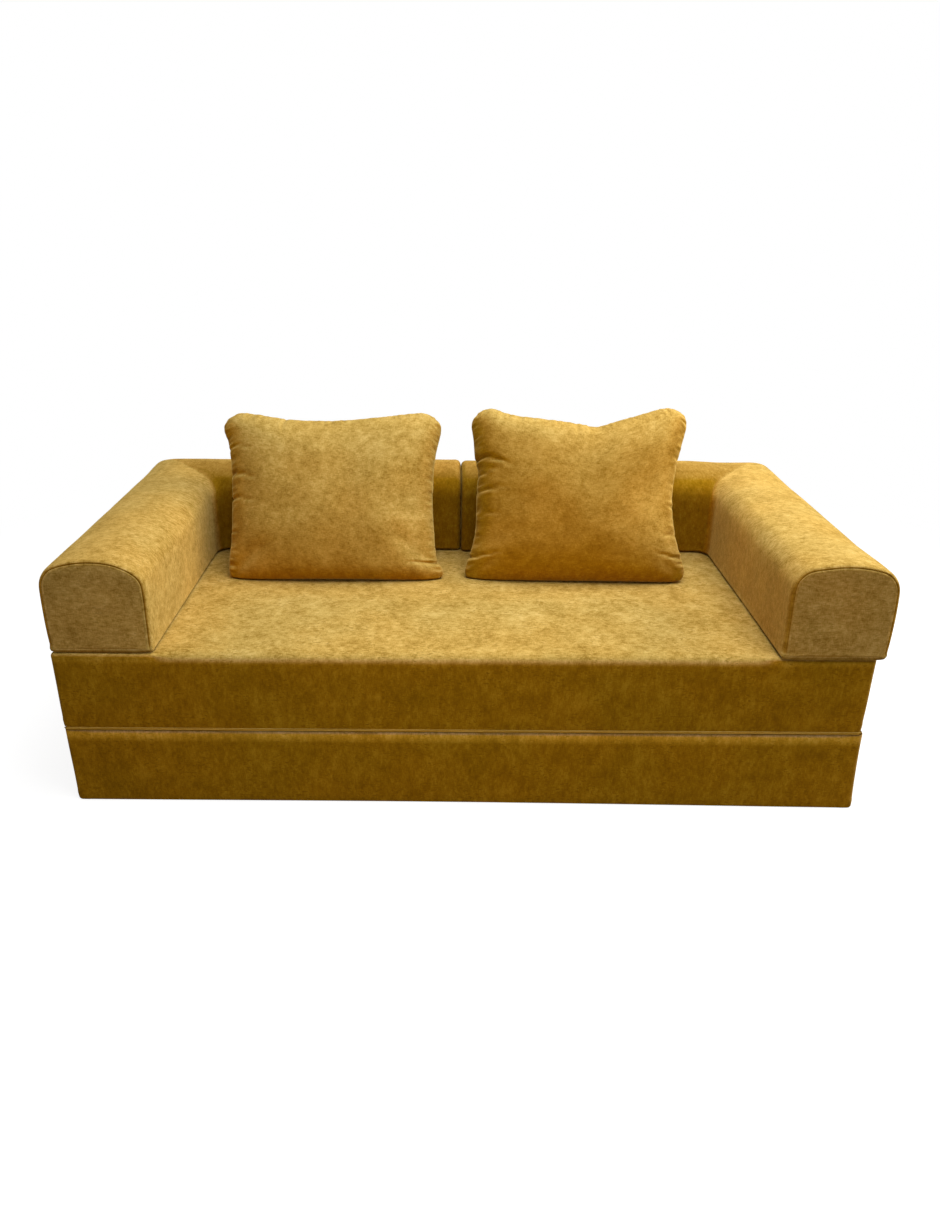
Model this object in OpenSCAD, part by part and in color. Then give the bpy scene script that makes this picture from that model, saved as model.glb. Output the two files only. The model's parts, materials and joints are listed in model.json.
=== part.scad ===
// Foam sofa bed: two stacked foam slabs joined along their front edge, so that the lower one
// folds out to make a bed, with two loose L-shaped bolsters as arms and back, and two pillows.
// X runs side to side, Y front to back and Z up. The origin is on the floor, under the middle.

/* [Slabs] */
// Width of the slabs, side to side
slab_w = 1900; // [1780:10:2200]
// Depth of one slab, front to back
slab_d = 900; // [750:10:1100]
// Thickness of one slab in its cover
slab_t = 202; // [140:1:260]
// Corner radius of a slab, seen from above
slab_corner_r = 22; // [12:1:60]
// Rounding of a slab's top edges
slab_top_r = 24; // [12:1:45]
// Rounding of a slab's bottom edges
slab_bottom_r = 8; // [4:1:20]

/* [Bolsters] */
// Thickness of the arms and the back
bolster_w = 232; // [180:1:280]
// Height of the bolsters at the crown
bolster_h = 228; // [180:1:300]
// Radius of the shoulders between the sides and the crown
shoulder_r = 58; // [30:1:60]
// Radius of the shallow crown along the top
crown_r = 245; // [220:5:600]
// Radius of the outer rear corner, seen from above
outer_corner_r = 40; // [20:1:60]
// Radius of the inner corner between arm and back
inner_corner_r = 40; // [20:1:70]
// Radius of the upright edges where the two backs meet
meeting_r = 17; // [10:1:30]
// Radius of the upright edges at an arm's front end
front_edge_r = 8; // [4:1:8]
// How much shorter an arm is than the slab is deep
arm_short = 14; // [0:1:60]
// How far the left arm's front end sits behind the slab's
left_setback = 16; // [0:1:40]
// How far the right arm's front end sits behind the slab's
right_setback = 4; // [0:1:40]
// How far the left bolster stands past the slab's side
left_overhang = 1; // [0:1:20]
// How far the right bolster stands past the slab's side
right_overhang = 8; // [0:1:20]
// How far right of the middle the two backs meet
meeting_x = 3; // [-10:1:10]

/* [Pillows] */
// Width of a pillow, corner to corner
pillow_w = 595; // [480:5:650]
// Height of a pillow, corner to corner
pillow_h = 460; // [380:2:520]
// Swell of a pillow's front
pillow_front = 82; // [50:1:110]
// Swell of a pillow's back
pillow_back = 104; // [50:1:110]
// How far the middle of each upright side draws in
side_draw = 22; // [5:1:40]
// How far the middle of the top edge draws in
top_draw = 11; // [3:1:25]
// How far the middle of the bottom edge draws in
bottom_draw = 3; // [1:1:6]
// How far a pillow's rounded corners stop short of a square corner
corner_draw = 13; // [4:1:24]
// Lean of the pillows from upright, in degrees
pillow_lean = 26; // [22:1:28]
// Space between the two pillows
pillow_gap = 72; // [10:1:100]
// How far right of the middle the pair of pillows stands
pillow_pair_x = -22; // [-40:1:40]
// Depth of the dent in the right pillow's top edge
dent_depth = 36; // [0:1:50]
// Place of that dent, from the pillow's middle
dent_x = 88; // [-150:1:150]
// Half width of that dent
dent_spread = 58; // [30:1:90]

/* [Layers] */
// Thickness of the chenille cover
cover_t = 1.5; // [1:0.1:3]
// Thickness of the fibre wadding round the foam
wadding_t = 6; // [4:0.5:12]
// Space left between one layer and the next
layer_gap = 0.3; // [0.2:0.05:0.5]
// Space between pieces that rest on each other
rest_gap = 0.4; // [0.3:0.05:0.8]

/* [Zips and strips] */
// Length of the zip in the back of each slab
slab_zip_l = 1500; // [800:10:1560]
// Length of the zip in the back of each bolster
bolster_zip_l = 560; // [300:10:560]
// Length of the concealed zip under each pillow
pillow_zip_l = 400; // [300:10:430]
// Width of a zip's tape in its slot
zip_w = 12; // [10:0.5:16]
// Radius of a zip's coil
coil_r = 1.3; // [1:0.1:2]
// Height of the zips above the bottom of their cover
zip_rise = 60; // [40:1:80]
// Length of a zip's slider
slider_l = 10; // [8:0.5:14]
// Length of the pull that hangs from a slider
pull_l = 24; // [16:1:30]
// Width of the hook and loop strips
strip_w = 50; // [25:1:80]
// Length of each hook and loop strip
strip_l = 300; // [150:10:450]
// Border that the base's cover leaves round its non-slip underside
underside_border = 30; // [25:1:60]
// Height of the hinge tape that is sewn up the seat's front
hinge_tape_h = 12; // [8:1:20]
// Thickness of the hinge tape
hinge_tape_t = 1.6; // [1:0.1:2.4]
// Radius of the bead along the hinge tape's lower edge
hinge_bead_r = 2; // [1.5:0.1:3]
// Space between that bead and the slabs' front faces
hinge_gap = 0.5; // [0.4:0.05:1]
// How far each end of the hinge strip stops short of the slabs' sides
hinge_inset = 30; // [25:1:80]

/* [Hidden] */
$fn = 96;
// Reach of a cutting shape past what it cuts
past = 2;
// Reach of a slot's cut past the cover's inner face
slot_past = 0.5;
// Insets of each layer's face from the outside of the cover
in_cover = cover_t;
out_wadding = cover_t + layer_gap;
in_wadding = out_wadding + wadding_t;
out_core = in_wadding + layer_gap;
// Heights of the stacked pieces
seat_z = slab_t + rest_gap;
seat_top = seat_z + slab_t;
bolster_z = seat_top + rest_gap;
pillow_z = seat_top + rest_gap;
// Shape of the bolster's section: the centres of its crown and shoulder arcs
crown_z = bolster_h - crown_r;
shoulder_x = bolster_w / 2 - shoulder_r;
shoulder_z = crown_z + sqrt(pow(crown_r - shoulder_r, 2) - pow(shoulder_x, 2));
// Reach of the wedge that parts the crown arc from the shoulder arcs: past where they meet
wedge_reach = 1.3;
wedge = wedge_reach * crown_r / (crown_r - shoulder_r);
// Smallest rounding that an inner layer keeps
least_r = 1;
// How far below the shoulders the rounded inner corner stops
corner_drop = 4;
arm_l = slab_d - arm_short;
left_back_l = slab_w / 2 + left_overhang + meeting_x - rest_gap / 2;
right_back_l = slab_w / 2 + right_overhang - meeting_x - rest_gap / 2;
left_rear_y = -slab_d / 2 + left_setback + arm_l;
right_rear_y = -slab_d / 2 + right_setback + arm_l;
// Hinge axis: a bead in front of both slabs, level with the gap between them
hinge_y = -slab_d / 2 - hinge_gap - hinge_bead_r;
hinge_z = slab_t + rest_gap / 2;
// How far a zip's coil stands clear of the cover's inner face, and the coil's middle
coil_bed = 0.2;
coil_y = coil_r + coil_bed - cover_t;
// Thickness and height of a zip's slider, and thickness and width of its pull
slider_t = 3.6;
slider_h = 8;
pull_t = 1.2;
pull_w = 5;
// Corner radius of the hook and loop strips
strip_r = 6;
// Width of the concealed zip under a pillow
pillow_zip_w = 8;
// How far behind its pillow's bottom seam the concealed zip starts
pillow_zip_back = 4;
// Middles of the pillows, side to side
left_pillow_x = pillow_pair_x - (pillow_gap + pillow_w) / 2;
right_pillow_x = pillow_pair_x + (pillow_gap + pillow_w) / 2;
// Pillow grid, side to side and bottom to top, and the powers that shape its swell
cells_x = 18;
cells_z = 11;
swell_edge = 3;
swell_rise = 0.52;
// Powers by which an edge's draw, a corner's and the dent fade out away from the seam
draw_fade = 3;
corner_fade = 8;
dent_fade = 4;
// How far the pillow's bottom seam is pressed into its flat foot
foot_press = 8;

// Colours, as the photograph shows them or as such materials look
chenille = [0.76, 0.57, 0.24];
foam = [0.95, 0.90, 0.72];
wadding = [0.96, 0.96, 0.94];
lining = [0.24, 0.22, 0.20];
tape = [0.62, 0.46, 0.18];
metal = [0.72, 0.66, 0.50];
fibre = [0.97, 0.97, 0.96];

// Radius of a rounding on an inner layer, or none where the layer lies past the rounding
function inner_r(r, inset) = r - inset > least_r ? r - inset : 0;

// Flat corner waste: what a rounding of radius r takes off a corner at the origin
module corner_waste(r) {
    difference() {
        translate([-past, -past]) square(r + past);
        translate([r, r]) circle(r = r);
    }
}

// Panel from x = 0 to w and y = 0 to h with its lower and upper corners rounded
module rounded_panel(w, h, low_r, high_r) {
    difference() {
        square([w, h]);
        if (low_r > 0) {
            corner_waste(low_r);
            translate([w, 0]) mirror([1, 0]) corner_waste(low_r);
        }
        if (high_r > 0) {
            translate([0, h]) mirror([0, 1]) corner_waste(high_r);
            translate([w, h]) rotate(180) corner_waste(high_r);
        }
    }
}

// Slab block at a given inset from the cover's outside: three rounded outlines that cross
module slab_block(inset) {
    w = slab_w - 2 * inset;
    d = slab_d - 2 * inset;
    t = slab_t - 2 * inset;
    low_r = inner_r(slab_bottom_r, inset);
    high_r = inner_r(slab_top_r, inset);
    plan_r = inner_r(slab_corner_r, inset);
    translate([-w / 2, -d / 2, inset])
        intersection() {
            linear_extrude(t) rounded_panel(w, d, plan_r, plan_r);
            translate([0, d, 0]) rotate([90, 0, 0])
                linear_extrude(d) rounded_panel(w, t, low_r, high_r);
            rotate([90, 0, 90]) linear_extrude(w) rounded_panel(d, t, low_r, high_r);
        }
}

// Slot for a zip, through the cover at the plane y = 0, with its middle at the origin
module zip_slot(l) {
    translate([-l / 2 - layer_gap, -cover_t - slot_past, -zip_w / 2 - layer_gap])
        cube([l + 2 * layer_gap, cover_t + past, zip_w + 2 * layer_gap]);
}

// Zip that fills its slot flush with the cover, with the coil along its middle
module zip(l) {
    union() {
        translate([-l / 2, -cover_t, -zip_w / 2]) cube([l, cover_t, zip_w]);
        translate([-l / 2, coil_y, 0]) rotate([0, 90, 0]) cylinder(r = coil_r, h = l);
    }
}

// Slider at the closed end of a zip, running over the coil, with its pull hanging down
module zip_slider(l) {
    translate([l / 2 - slider_l, 0, 0])
        difference() {
            union() {
                translate([0, layer_gap, -slider_h / 2])
                    cube([slider_l, slider_t, slider_h]);
                translate([(slider_l - pull_w) / 2, layer_gap + slider_t - pull_t, -pull_l])
                    cube([pull_w, pull_t, pull_l]);
            }
            translate([-past, coil_y, 0]) rotate([0, 90, 0])
                cylinder(r = coil_r + layer_gap, h = slider_l + 2 * past);
        }
}

// Bolster section at a given inset: flat sides, rounded shoulders and a shallow crown
module bolster_section(inset) {
    half = bolster_w / 2 - inset;
    translate([bolster_w / 2, 0]) {
        translate([-half, inset]) square([2 * half, shoulder_z - inset]);
        for (side = [-1, 1])
            translate([side * shoulder_x, shoulder_z]) circle(r = shoulder_r - inset);
        intersection() {
            translate([0, crown_z]) circle(r = crown_r - inset);
            polygon([
                [-shoulder_x, shoulder_z - past],
                [-shoulder_x, shoulder_z],
                [-shoulder_x * wedge, crown_z + (shoulder_z - crown_z) * wedge],
                [shoulder_x * wedge, crown_z + (shoulder_z - crown_z) * wedge],
                [shoulder_x, shoulder_z],
                [shoulder_x, shoulder_z - past]
            ]);
        }
    }
}

// Upright waste of a rounded corner, turned to face into the corner at (x, y)
module upright_waste(x, y, turn, r) {
    if (r > 0)
        translate([x, y, -past]) rotate(turn)
            linear_extrude(bolster_h + 2 * past) corner_waste(r);
}

// Arm of a bolster, cut at the mitre. The bolster's outer rear corner is the origin, its arm
// runs towards -Y and its back towards +X
module arm_block(inset) {
    reach = bolster_w + past;
    difference() {
        intersection() {
            translate([0, -inset, 0]) rotate([90, 0, 0])
                linear_extrude(arm_l - 2 * inset) bolster_section(inset);
            translate([0, 0, -past]) linear_extrude(bolster_h + 2 * past)
                polygon([[-past, past], [reach, -reach], [reach, -arm_l - past],
                         [-past, -arm_l - past]]);
        }
        upright_waste(inset, -inset, -90, inner_r(outer_corner_r, inset));
        upright_waste(inset, inset - arm_l, 0, inner_r(front_edge_r, inset));
        upright_waste(bolster_w - inset, inset - arm_l, 90, inner_r(front_edge_r, inset));
    }
}

// Back of a bolster, cut at the same mitre
module back_block(inset, back_l) {
    reach = bolster_w + past;
    difference() {
        intersection() {
            translate([inset, -bolster_w, 0]) rotate([90, 0, 90])
                linear_extrude(back_l - 2 * inset) bolster_section(inset);
            translate([0, 0, -past]) linear_extrude(bolster_h + 2 * past)
                polygon([[-past, past], [reach, -reach], [back_l + past, -reach],
                         [back_l + past, past]]);
        }
        upright_waste(inset, -inset, -90, inner_r(outer_corner_r, inset));
        upright_waste(back_l - inset, -inset, 180, inner_r(meeting_r, inset));
        upright_waste(back_l - inset, inset - bolster_w, 90, inner_r(meeting_r, inset));
    }
}

// Whole L of a bolster, with the rounded inner corner that the cover is drawn over
module bolster_block(inset, back_l) {
    corner = bolster_w - inset;
    r = inner_corner_r + inset;
    union() {
        arm_block(inset);
        back_block(inset, back_l);
        translate([corner, -corner, inset])
            linear_extrude(shoulder_z - corner_drop - 2 * inset)
                difference() {
                    translate([-past, -r]) square(r + past);
                    translate([r, -r]) circle(r = r);
                }
    }
}

// Hook and loop strips as plates of a given growth: one under the arm and one under the back
module strip_plates(grow, back_l) {
    l = strip_l + 2 * grow;
    w = strip_w + 2 * grow;
    arm_mid = (bolster_w + arm_l) / 2;
    back_mid = (bolster_w + back_l) / 2;
    translate([bolster_w / 2 - w / 2, -arm_mid - l / 2]) rounded_panel(w, l, strip_r, strip_r);
    translate([back_mid - l / 2, -bolster_w / 2 - w / 2]) rounded_panel(l, w, strip_r, strip_r);
}

// Places a left bolster's pieces on the seat
module on_left() {
    translate([-slab_w / 2 - left_overhang, left_rear_y, bolster_z]) children();
}

// Places a right bolster's pieces on the seat, as the left one's mirror image
module on_right() {
    translate([slab_w / 2 + right_overhang, right_rear_y, bolster_z])
        mirror([1, 0, 0]) children();
}

// Middle of the zip in a bolster's back
function bolster_zip_x(back_l) = (bolster_w + back_l) / 2;

module bolster_cover(back_l) {
    difference() {
        bolster_block(0, back_l);
        bolster_block(in_cover, back_l);
        translate([bolster_zip_x(back_l), 0, zip_rise]) zip_slot(bolster_zip_l);
        translate([0, 0, -past]) linear_extrude(past + cover_t + slot_past)
            strip_plates(layer_gap, back_l);
    }
}

module bolster_wadding(back_l) {
    difference() {
        bolster_block(out_wadding, back_l);
        arm_block(in_wadding);
        back_block(in_wadding, back_l);
    }
}

// Swell of a pillow at (u, v), each from -1 to 1: full in the middle and flat at the seam
function swell(u, v) =
    pow(1 - pow(abs(u), swell_edge), swell_rise) * pow(1 - pow(abs(v), swell_edge), swell_rise);

// Point of a pillow's skin on the seat: u runs across it, v up it, and side is 1 for the front
// and -1 for the back. The foot is pressed flat where the pillow stands
function pillow_point(u, v, side, inset, dent, seam_y) =
    let (
        corner = corner_draw * pow(abs(u * v), corner_fade),
        x = (pillow_w / 2 - inset) * u
            - sign(u) * (side_draw * (1 - v * v) * pow(abs(u), draw_fade) + corner),
        notch = v > 0
            ? dent * exp(-pow((x - dent_x) / dent_spread, 2)) * pow(v, dent_fade)
            : 0,
        draw = v > 0 ? top_draw : bottom_draw,
        up = (pillow_h / 2 - inset) * v - notch
            - sign(v) * (draw * (1 - u * u) * pow(abs(v), draw_fade) + corner),
        out = side * ((side > 0 ? pillow_front : pillow_back) - inset) * swell(u, v),
        rise = pillow_h / 2 - foot_press + up
    )
    [
        x,
        seam_y + rise * sin(pillow_lean) - out * cos(pillow_lean),
        max(pillow_z + inset, pillow_z + rise * cos(pillow_lean) + out * sin(pillow_lean))
    ];

// Pillow seam's distance from the bolster, so that the back's swell just meets the shoulder
function pillow_seam_y(rear_y) =
    rear_y - bolster_w + shoulder_r
    - (shoulder_z * sin(pillow_lean) + shoulder_r + pillow_back + rest_gap) / cos(pillow_lean);

// Grid line k of n as a share from -1 to 1, with the lines closer together near the seam
function grid_share(k, n) = sin(180 * k / n - 90);

// Two triangles of a grid cell, split so that a corner cell never folds flat on the seam
function cell(a, b, c, d, slant) = slant ? [[a, b, c], [a, c, d]] : [[a, b, d], [b, c, d]];

// Pillow at a given inset: a front and a back grid that share the seam round the edge
module pillow_block(inset, dent, seam_y) {
    row = cells_x + 1;
    count = row * (cells_z + 1);
    grid = [
        for (side = [1, -1], j = [0 : cells_z], i = [0 : cells_x])
            pillow_point(grid_share(i, cells_x), grid_share(j, cells_z), side, inset, dent, seam_y)
    ];
    // The back grid's own seam points aren't used: its cells take the front grid's
    function at_seam(i, j) = i == 0 || i == cells_x || j == 0 || j == cells_z;
    function front(i, j) = j * row + i;
    function back(i, j) = at_seam(i, j) ? front(i, j) : count + front(i, j);
    faces = [
        for (j = [0 : cells_z - 1], i = [0 : cells_x - 1])
            let (slant = (2 * i < cells_x) == (2 * j + 1 < cells_z))
                each concat(
                    cell(front(i, j), front(i, j + 1), front(i + 1, j + 1), front(i + 1, j), slant),
                    cell(back(i, j), back(i + 1, j), back(i + 1, j + 1), back(i, j + 1), slant)
                )
    ];
    polyhedron(points = grid, faces = faces, convexity = 4);
}

// Concealed zip in the pillow's flat foot, just behind its bottom seam
module pillow_zip(seam_y) {
    translate([-pillow_zip_l / 2, seam_y + pillow_zip_back, pillow_z])
        cube([pillow_zip_l, pillow_zip_w, cover_t]);
}

module pillow_cover(dent, seam_y) {
    difference() {
        pillow_block(0, dent, seam_y);
        pillow_block(in_cover, dent, seam_y);
        translate([-pillow_zip_l / 2 - layer_gap, seam_y + pillow_zip_back - layer_gap,
                   pillow_z - past])
            cube([pillow_zip_l + 2 * layer_gap, pillow_zip_w + 2 * layer_gap,
                  past + cover_t + slot_past]);
    }
}

module base_foam() color(foam) slab_block(out_core);

module base_wadding() color(wadding)
    difference() {
        slab_block(out_wadding);
        slab_block(in_wadding);
    }

// Outline of the non-slip underside, grown for the opening that it fills
module underside_outline(grow) {
    w = slab_w - 2 * underside_border + 2 * grow;
    d = slab_d - 2 * underside_border + 2 * grow;
    translate([-w / 2, -d / 2]) rounded_panel(w, d, slab_corner_r, slab_corner_r);
}

module base_cover() color(chenille)
    difference() {
        slab_block(0);
        slab_block(in_cover);
        translate([0, slab_d / 2, zip_rise]) zip_slot(slab_zip_l);
        translate([0, 0, -past]) linear_extrude(past + cover_t + slot_past)
            underside_outline(layer_gap);
    }

module base_underside() color(lining)
    linear_extrude(cover_t) underside_outline(0);

module base_zip() color(tape)
    translate([0, slab_d / 2, zip_rise]) zip(slab_zip_l);

module base_zip_slider() color(metal)
    translate([0, slab_d / 2, zip_rise]) zip_slider(slab_zip_l);

module seat_foam() color(foam)
    translate([0, 0, seat_z]) slab_block(out_core);

module seat_wadding() color(wadding)
    translate([0, 0, seat_z])
        difference() {
            slab_block(out_wadding);
            slab_block(in_wadding);
        }

module seat_cover() color(chenille)
    difference() {
        translate([0, 0, seat_z]) slab_block(0);
        translate([0, 0, seat_z]) slab_block(in_cover);
        translate([0, slab_d / 2, seat_z + zip_rise]) zip_slot(slab_zip_l);
        on_left() translate([0, 0, -rest_gap - cover_t - slot_past])
            linear_extrude(cover_t + past) strip_plates(layer_gap, left_back_l);
        on_right() translate([0, 0, -rest_gap - cover_t - slot_past])
            linear_extrude(cover_t + past) strip_plates(layer_gap, right_back_l);
    }

module seat_zip() color(tape)
    translate([0, slab_d / 2, seat_z + zip_rise]) zip(slab_zip_l);

module seat_zip_slider() color(metal)
    translate([0, slab_d / 2, seat_z + zip_rise]) zip_slider(slab_zip_l);

// Hinge strip: a tape sewn up the seat's front edge, with its bead on the hinge axis
module hinge_strip() color(chenille)
    translate([-slab_w / 2 + hinge_inset, hinge_y, hinge_z])
        union() {
            rotate([0, 90, 0]) cylinder(r = hinge_bead_r, h = slab_w - 2 * hinge_inset);
            translate([0, hinge_bead_r + hinge_gap - layer_gap - hinge_tape_t, 0])
                cube([slab_w - 2 * hinge_inset, hinge_tape_t, hinge_bead_r + hinge_tape_h]);
        }

module left_loop_strips() color(lining)
    on_left() translate([0, 0, -rest_gap - cover_t])
        linear_extrude(cover_t) strip_plates(0, left_back_l);

module right_loop_strips() color(lining)
    on_right() translate([0, 0, -rest_gap - cover_t])
        linear_extrude(cover_t) strip_plates(0, right_back_l);

module left_arm_foam() color(foam) on_left() arm_block(out_core);

module left_back_foam() color(foam) on_left() back_block(out_core, left_back_l);

module left_bolster_wadding() color(wadding) on_left() bolster_wadding(left_back_l);

module left_bolster_cover() color(chenille) on_left() bolster_cover(left_back_l);

module left_bolster_zip() color(tape)
    on_left() translate([bolster_zip_x(left_back_l), 0, zip_rise]) zip(bolster_zip_l);

module left_bolster_zip_slider() color(metal)
    on_left() translate([bolster_zip_x(left_back_l), 0, zip_rise])
        zip_slider(bolster_zip_l);

module left_hook_strips() color(lining)
    on_left() linear_extrude(cover_t) strip_plates(0, left_back_l);

module right_arm_foam() color(foam) on_right() arm_block(out_core);

module right_back_foam() color(foam) on_right() back_block(out_core, right_back_l);

module right_bolster_wadding() color(wadding) on_right() bolster_wadding(right_back_l);

module right_bolster_cover() color(chenille) on_right() bolster_cover(right_back_l);

module right_bolster_zip() color(tape)
    on_right() translate([bolster_zip_x(right_back_l), 0, zip_rise]) zip(bolster_zip_l);

module right_bolster_zip_slider() color(metal)
    on_right() translate([bolster_zip_x(right_back_l), 0, zip_rise])
        zip_slider(bolster_zip_l);

module right_hook_strips() color(lining)
    on_right() linear_extrude(cover_t) strip_plates(0, right_back_l);

module left_pillow_insert() color(fibre)
    translate([left_pillow_x, 0, 0]) pillow_block(out_wadding, 0, pillow_seam_y(left_rear_y));

module left_pillow_cover() color(chenille)
    translate([left_pillow_x, 0, 0]) pillow_cover(0, pillow_seam_y(left_rear_y));

module left_pillow_zip() color(tape)
    translate([left_pillow_x, 0, 0]) pillow_zip(pillow_seam_y(left_rear_y));

module right_pillow_insert() color(fibre)
    translate([right_pillow_x, 0, 0])
        pillow_block(out_wadding, dent_depth, pillow_seam_y(right_rear_y));

module right_pillow_cover() color(chenille)
    translate([right_pillow_x, 0, 0]) pillow_cover(dent_depth, pillow_seam_y(right_rear_y));

module right_pillow_zip() color(tape)
    translate([right_pillow_x, 0, 0]) pillow_zip(pillow_seam_y(right_rear_y));

base_foam();
base_wadding();
base_cover();
base_underside();
base_zip();
base_zip_slider();
seat_foam();
seat_wadding();
seat_cover();
seat_zip();
seat_zip_slider();
hinge_strip();
left_loop_strips();
right_loop_strips();
left_arm_foam();
left_back_foam();
left_bolster_wadding();
left_bolster_cover();
left_bolster_zip();
left_bolster_zip_slider();
left_hook_strips();
right_arm_foam();
right_back_foam();
right_bolster_wadding();
right_bolster_cover();
right_bolster_zip();
right_bolster_zip_slider();
right_hook_strips();
left_pillow_insert();
left_pillow_cover();
left_pillow_zip();
right_pillow_insert();
right_pillow_cover();
right_pillow_zip();
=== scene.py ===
import json
from math import atan2, cos, degrees, exp, hypot, pi, radians, sin, sqrt, tau

import bmesh
import bpy
from mathutils import Matrix, Vector, noise


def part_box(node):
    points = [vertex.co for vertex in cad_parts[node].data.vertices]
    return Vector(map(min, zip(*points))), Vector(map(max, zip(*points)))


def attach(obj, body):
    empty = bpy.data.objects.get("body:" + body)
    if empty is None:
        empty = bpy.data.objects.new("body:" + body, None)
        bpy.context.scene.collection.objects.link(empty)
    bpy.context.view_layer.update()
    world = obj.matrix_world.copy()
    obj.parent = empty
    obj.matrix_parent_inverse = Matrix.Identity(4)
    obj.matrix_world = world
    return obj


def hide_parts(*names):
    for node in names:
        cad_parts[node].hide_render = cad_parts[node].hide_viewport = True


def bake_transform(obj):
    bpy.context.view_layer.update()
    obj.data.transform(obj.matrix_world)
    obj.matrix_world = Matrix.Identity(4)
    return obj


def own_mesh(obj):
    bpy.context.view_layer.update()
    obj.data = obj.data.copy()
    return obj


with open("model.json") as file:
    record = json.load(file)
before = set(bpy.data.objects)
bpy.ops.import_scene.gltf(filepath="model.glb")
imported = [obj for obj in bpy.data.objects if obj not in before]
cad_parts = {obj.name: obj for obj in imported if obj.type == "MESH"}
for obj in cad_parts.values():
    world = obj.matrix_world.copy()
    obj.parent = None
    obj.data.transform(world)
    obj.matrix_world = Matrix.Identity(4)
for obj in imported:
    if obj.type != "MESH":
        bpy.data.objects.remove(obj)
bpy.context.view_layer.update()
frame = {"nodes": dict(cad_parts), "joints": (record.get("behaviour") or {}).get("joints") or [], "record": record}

# Places that come from the frame, in metres
SEAT_LOW, SEAT_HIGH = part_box("seat_cover")
BASE_LOW, BASE_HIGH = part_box("base_cover")
SEAT_TOP = SEAT_HIGH.z
HINGE = next(joint for joint in frame["joints"] if joint["name"] == "base_fold")
HINGE_Y, HINGE_Z = HINGE["pos_m"][1:]

# Bolster section, as on the solid: the thickness, the height and the arcs over the top
BOLSTER_W = 0.232
BOLSTER_H = 0.228
SHOULDER_R = 0.058
CROWN_R = 0.245
FOOT_R = 0.009
OUTER_CORNER_R = 0.040
INNER_CORNER_R = 0.040
MIDDLE_CORNER_R = 0.028

# Camera, from the lines of the slabs and bolsters in the photograph
PHOTO_LONG_SIDE = 1215
FOCAL_PIXELS = 893.417
SENSOR = 36.0
CAMERA_PLACE = (-0.0392, -2.2674, 1.3757)
CAMERA_YAW = radians(-1.011)
CAMERA_PITCH = radians(23.853)
CAMERA_ROLL = radians(-0.171)
CAMERA_SHIFT = (0.03127, -0.01463)


class Value:
    """A shader socket. Sums written on it add the Math nodes that work them out."""

    def __init__(self, finish, socket):
        self.finish = finish
        self.socket = socket

    def math(self, operation, *values):
        return self.finish.add("Math", {"operation": operation}, dict(enumerate(values)))

    def __add__(self, other):
        return self.math("ADD", self, other)

    def __sub__(self, other):
        return self.math("SUBTRACT", self, other)

    def __rsub__(self, other):
        return self.math("SUBTRACT", other, self)

    def __mul__(self, other):
        return self.math("MULTIPLY", self, other)

    __radd__, __rmul__ = __add__, __mul__


class Finish:
    """A material or world in the making: its node tree, and the one way to add a node to it."""

    def __init__(self, holder):
        self.holder = holder
        holder.use_nodes = True
        self.tree = holder.node_tree
        self.tree.nodes.clear()

    def add(self, kind, settings=None, sockets=None, out=0):
        node = self.tree.nodes.new("ShaderNode" + kind)
        for key, value in (settings or {}).items():
            if key == "stops":
                for spare in range(len(value) - len(node.color_ramp.elements)):
                    node.color_ramp.elements.new(1.0)
                for element, (place, colour) in zip(node.color_ramp.elements, value):
                    element.position = place
                    element.color = (*colour, 1.0)
            else:
                setattr(node, key, value)
        for key, value in (sockets or {}).items():
            if isinstance(value, Value):
                self.tree.links.new(value.socket, node.inputs[key])
            else:
                node.inputs[key].default_value = value
        return Value(self, node.outputs[out]) if node.outputs else None

    def painted(self, layer):
        """What a layer of the mesh's points says."""
        return self.add("Attribute", {"attribute_name": layer}, out=2)

    def own_place(self):
        """Object coordinates."""
        return self.add("TexCoord", out=3)

    def noise(self, place, scale, detail=2.0, roughness=0.5, stretch=(1, 1, 1), shift=(0, 0, 0)):
        """Noise from 0 to 1 around a half, with its grain stretched along the cloth."""
        moved = self.add("Mapping", {}, {"Vector": place, "Scale": stretch, "Location": shift})
        return self.add("TexNoise", {}, {
            "Vector": moved, "Scale": scale, "Detail": detail, "Roughness": roughness,
        })

    def span(self, value, low, high, to_low=0.0, to_high=1.0):
        """The value's stretch from low to high, spread over a new stretch and held at its ends."""
        return self.add("MapRange", {"interpolation_type": "SMOOTHSTEP"}, {
            "Value": value, "From Min": low, "From Max": high,
            "To Min": to_low, "To Max": to_high,
        })

    def mix(self, factor, first, second, blend="MIX"):
        """Colour between two colours."""
        return self.add("Mix", {"data_type": "RGBA", "blend_type": blend}, {
            0: factor, 6: first, 7: second,
        }, out=2)

    def surface(self, sockets, shade=None, dark=None):
        """Ends the material with a Principled shader of these sockets. Where the shade is 1 it
        gives way to a plain dark one."""
        shader = self.add("BsdfPrincipled", {}, sockets)
        if shade:
            depth = self.add("BsdfDiffuse", {}, {"Color": dark})
            shader = self.add("MixShader", {}, {0: shade, 1: shader, 2: depth})
        self.add("OutputMaterial", {}, {"Surface": shader})
        return self.holder


def rgb(red, green, blue):
    return (red, green, blue, 1.0)


# Colours of the chenille's pile as painted shade and painted light: the shaded palette where a
# face turns from the light, and the lit one where it turns towards it
SHADED_PILE = ((0.235, 0.098, 0.0011), (0.345, 0.152, 0.0028), (0.460, 0.226, 0.0100))
LIT_PILE = ((0.275, 0.160, 0.024), (0.490, 0.322, 0.081), (0.640, 0.450, 0.150))
LAYS = (0.23, 0.52, 0.78)
# Colour of the dark seam lines, and of the painted shade laid in crevices and gaps
DARK_SEAM_AND_SHADE = (0.060, 0.024, 0.002)
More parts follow.
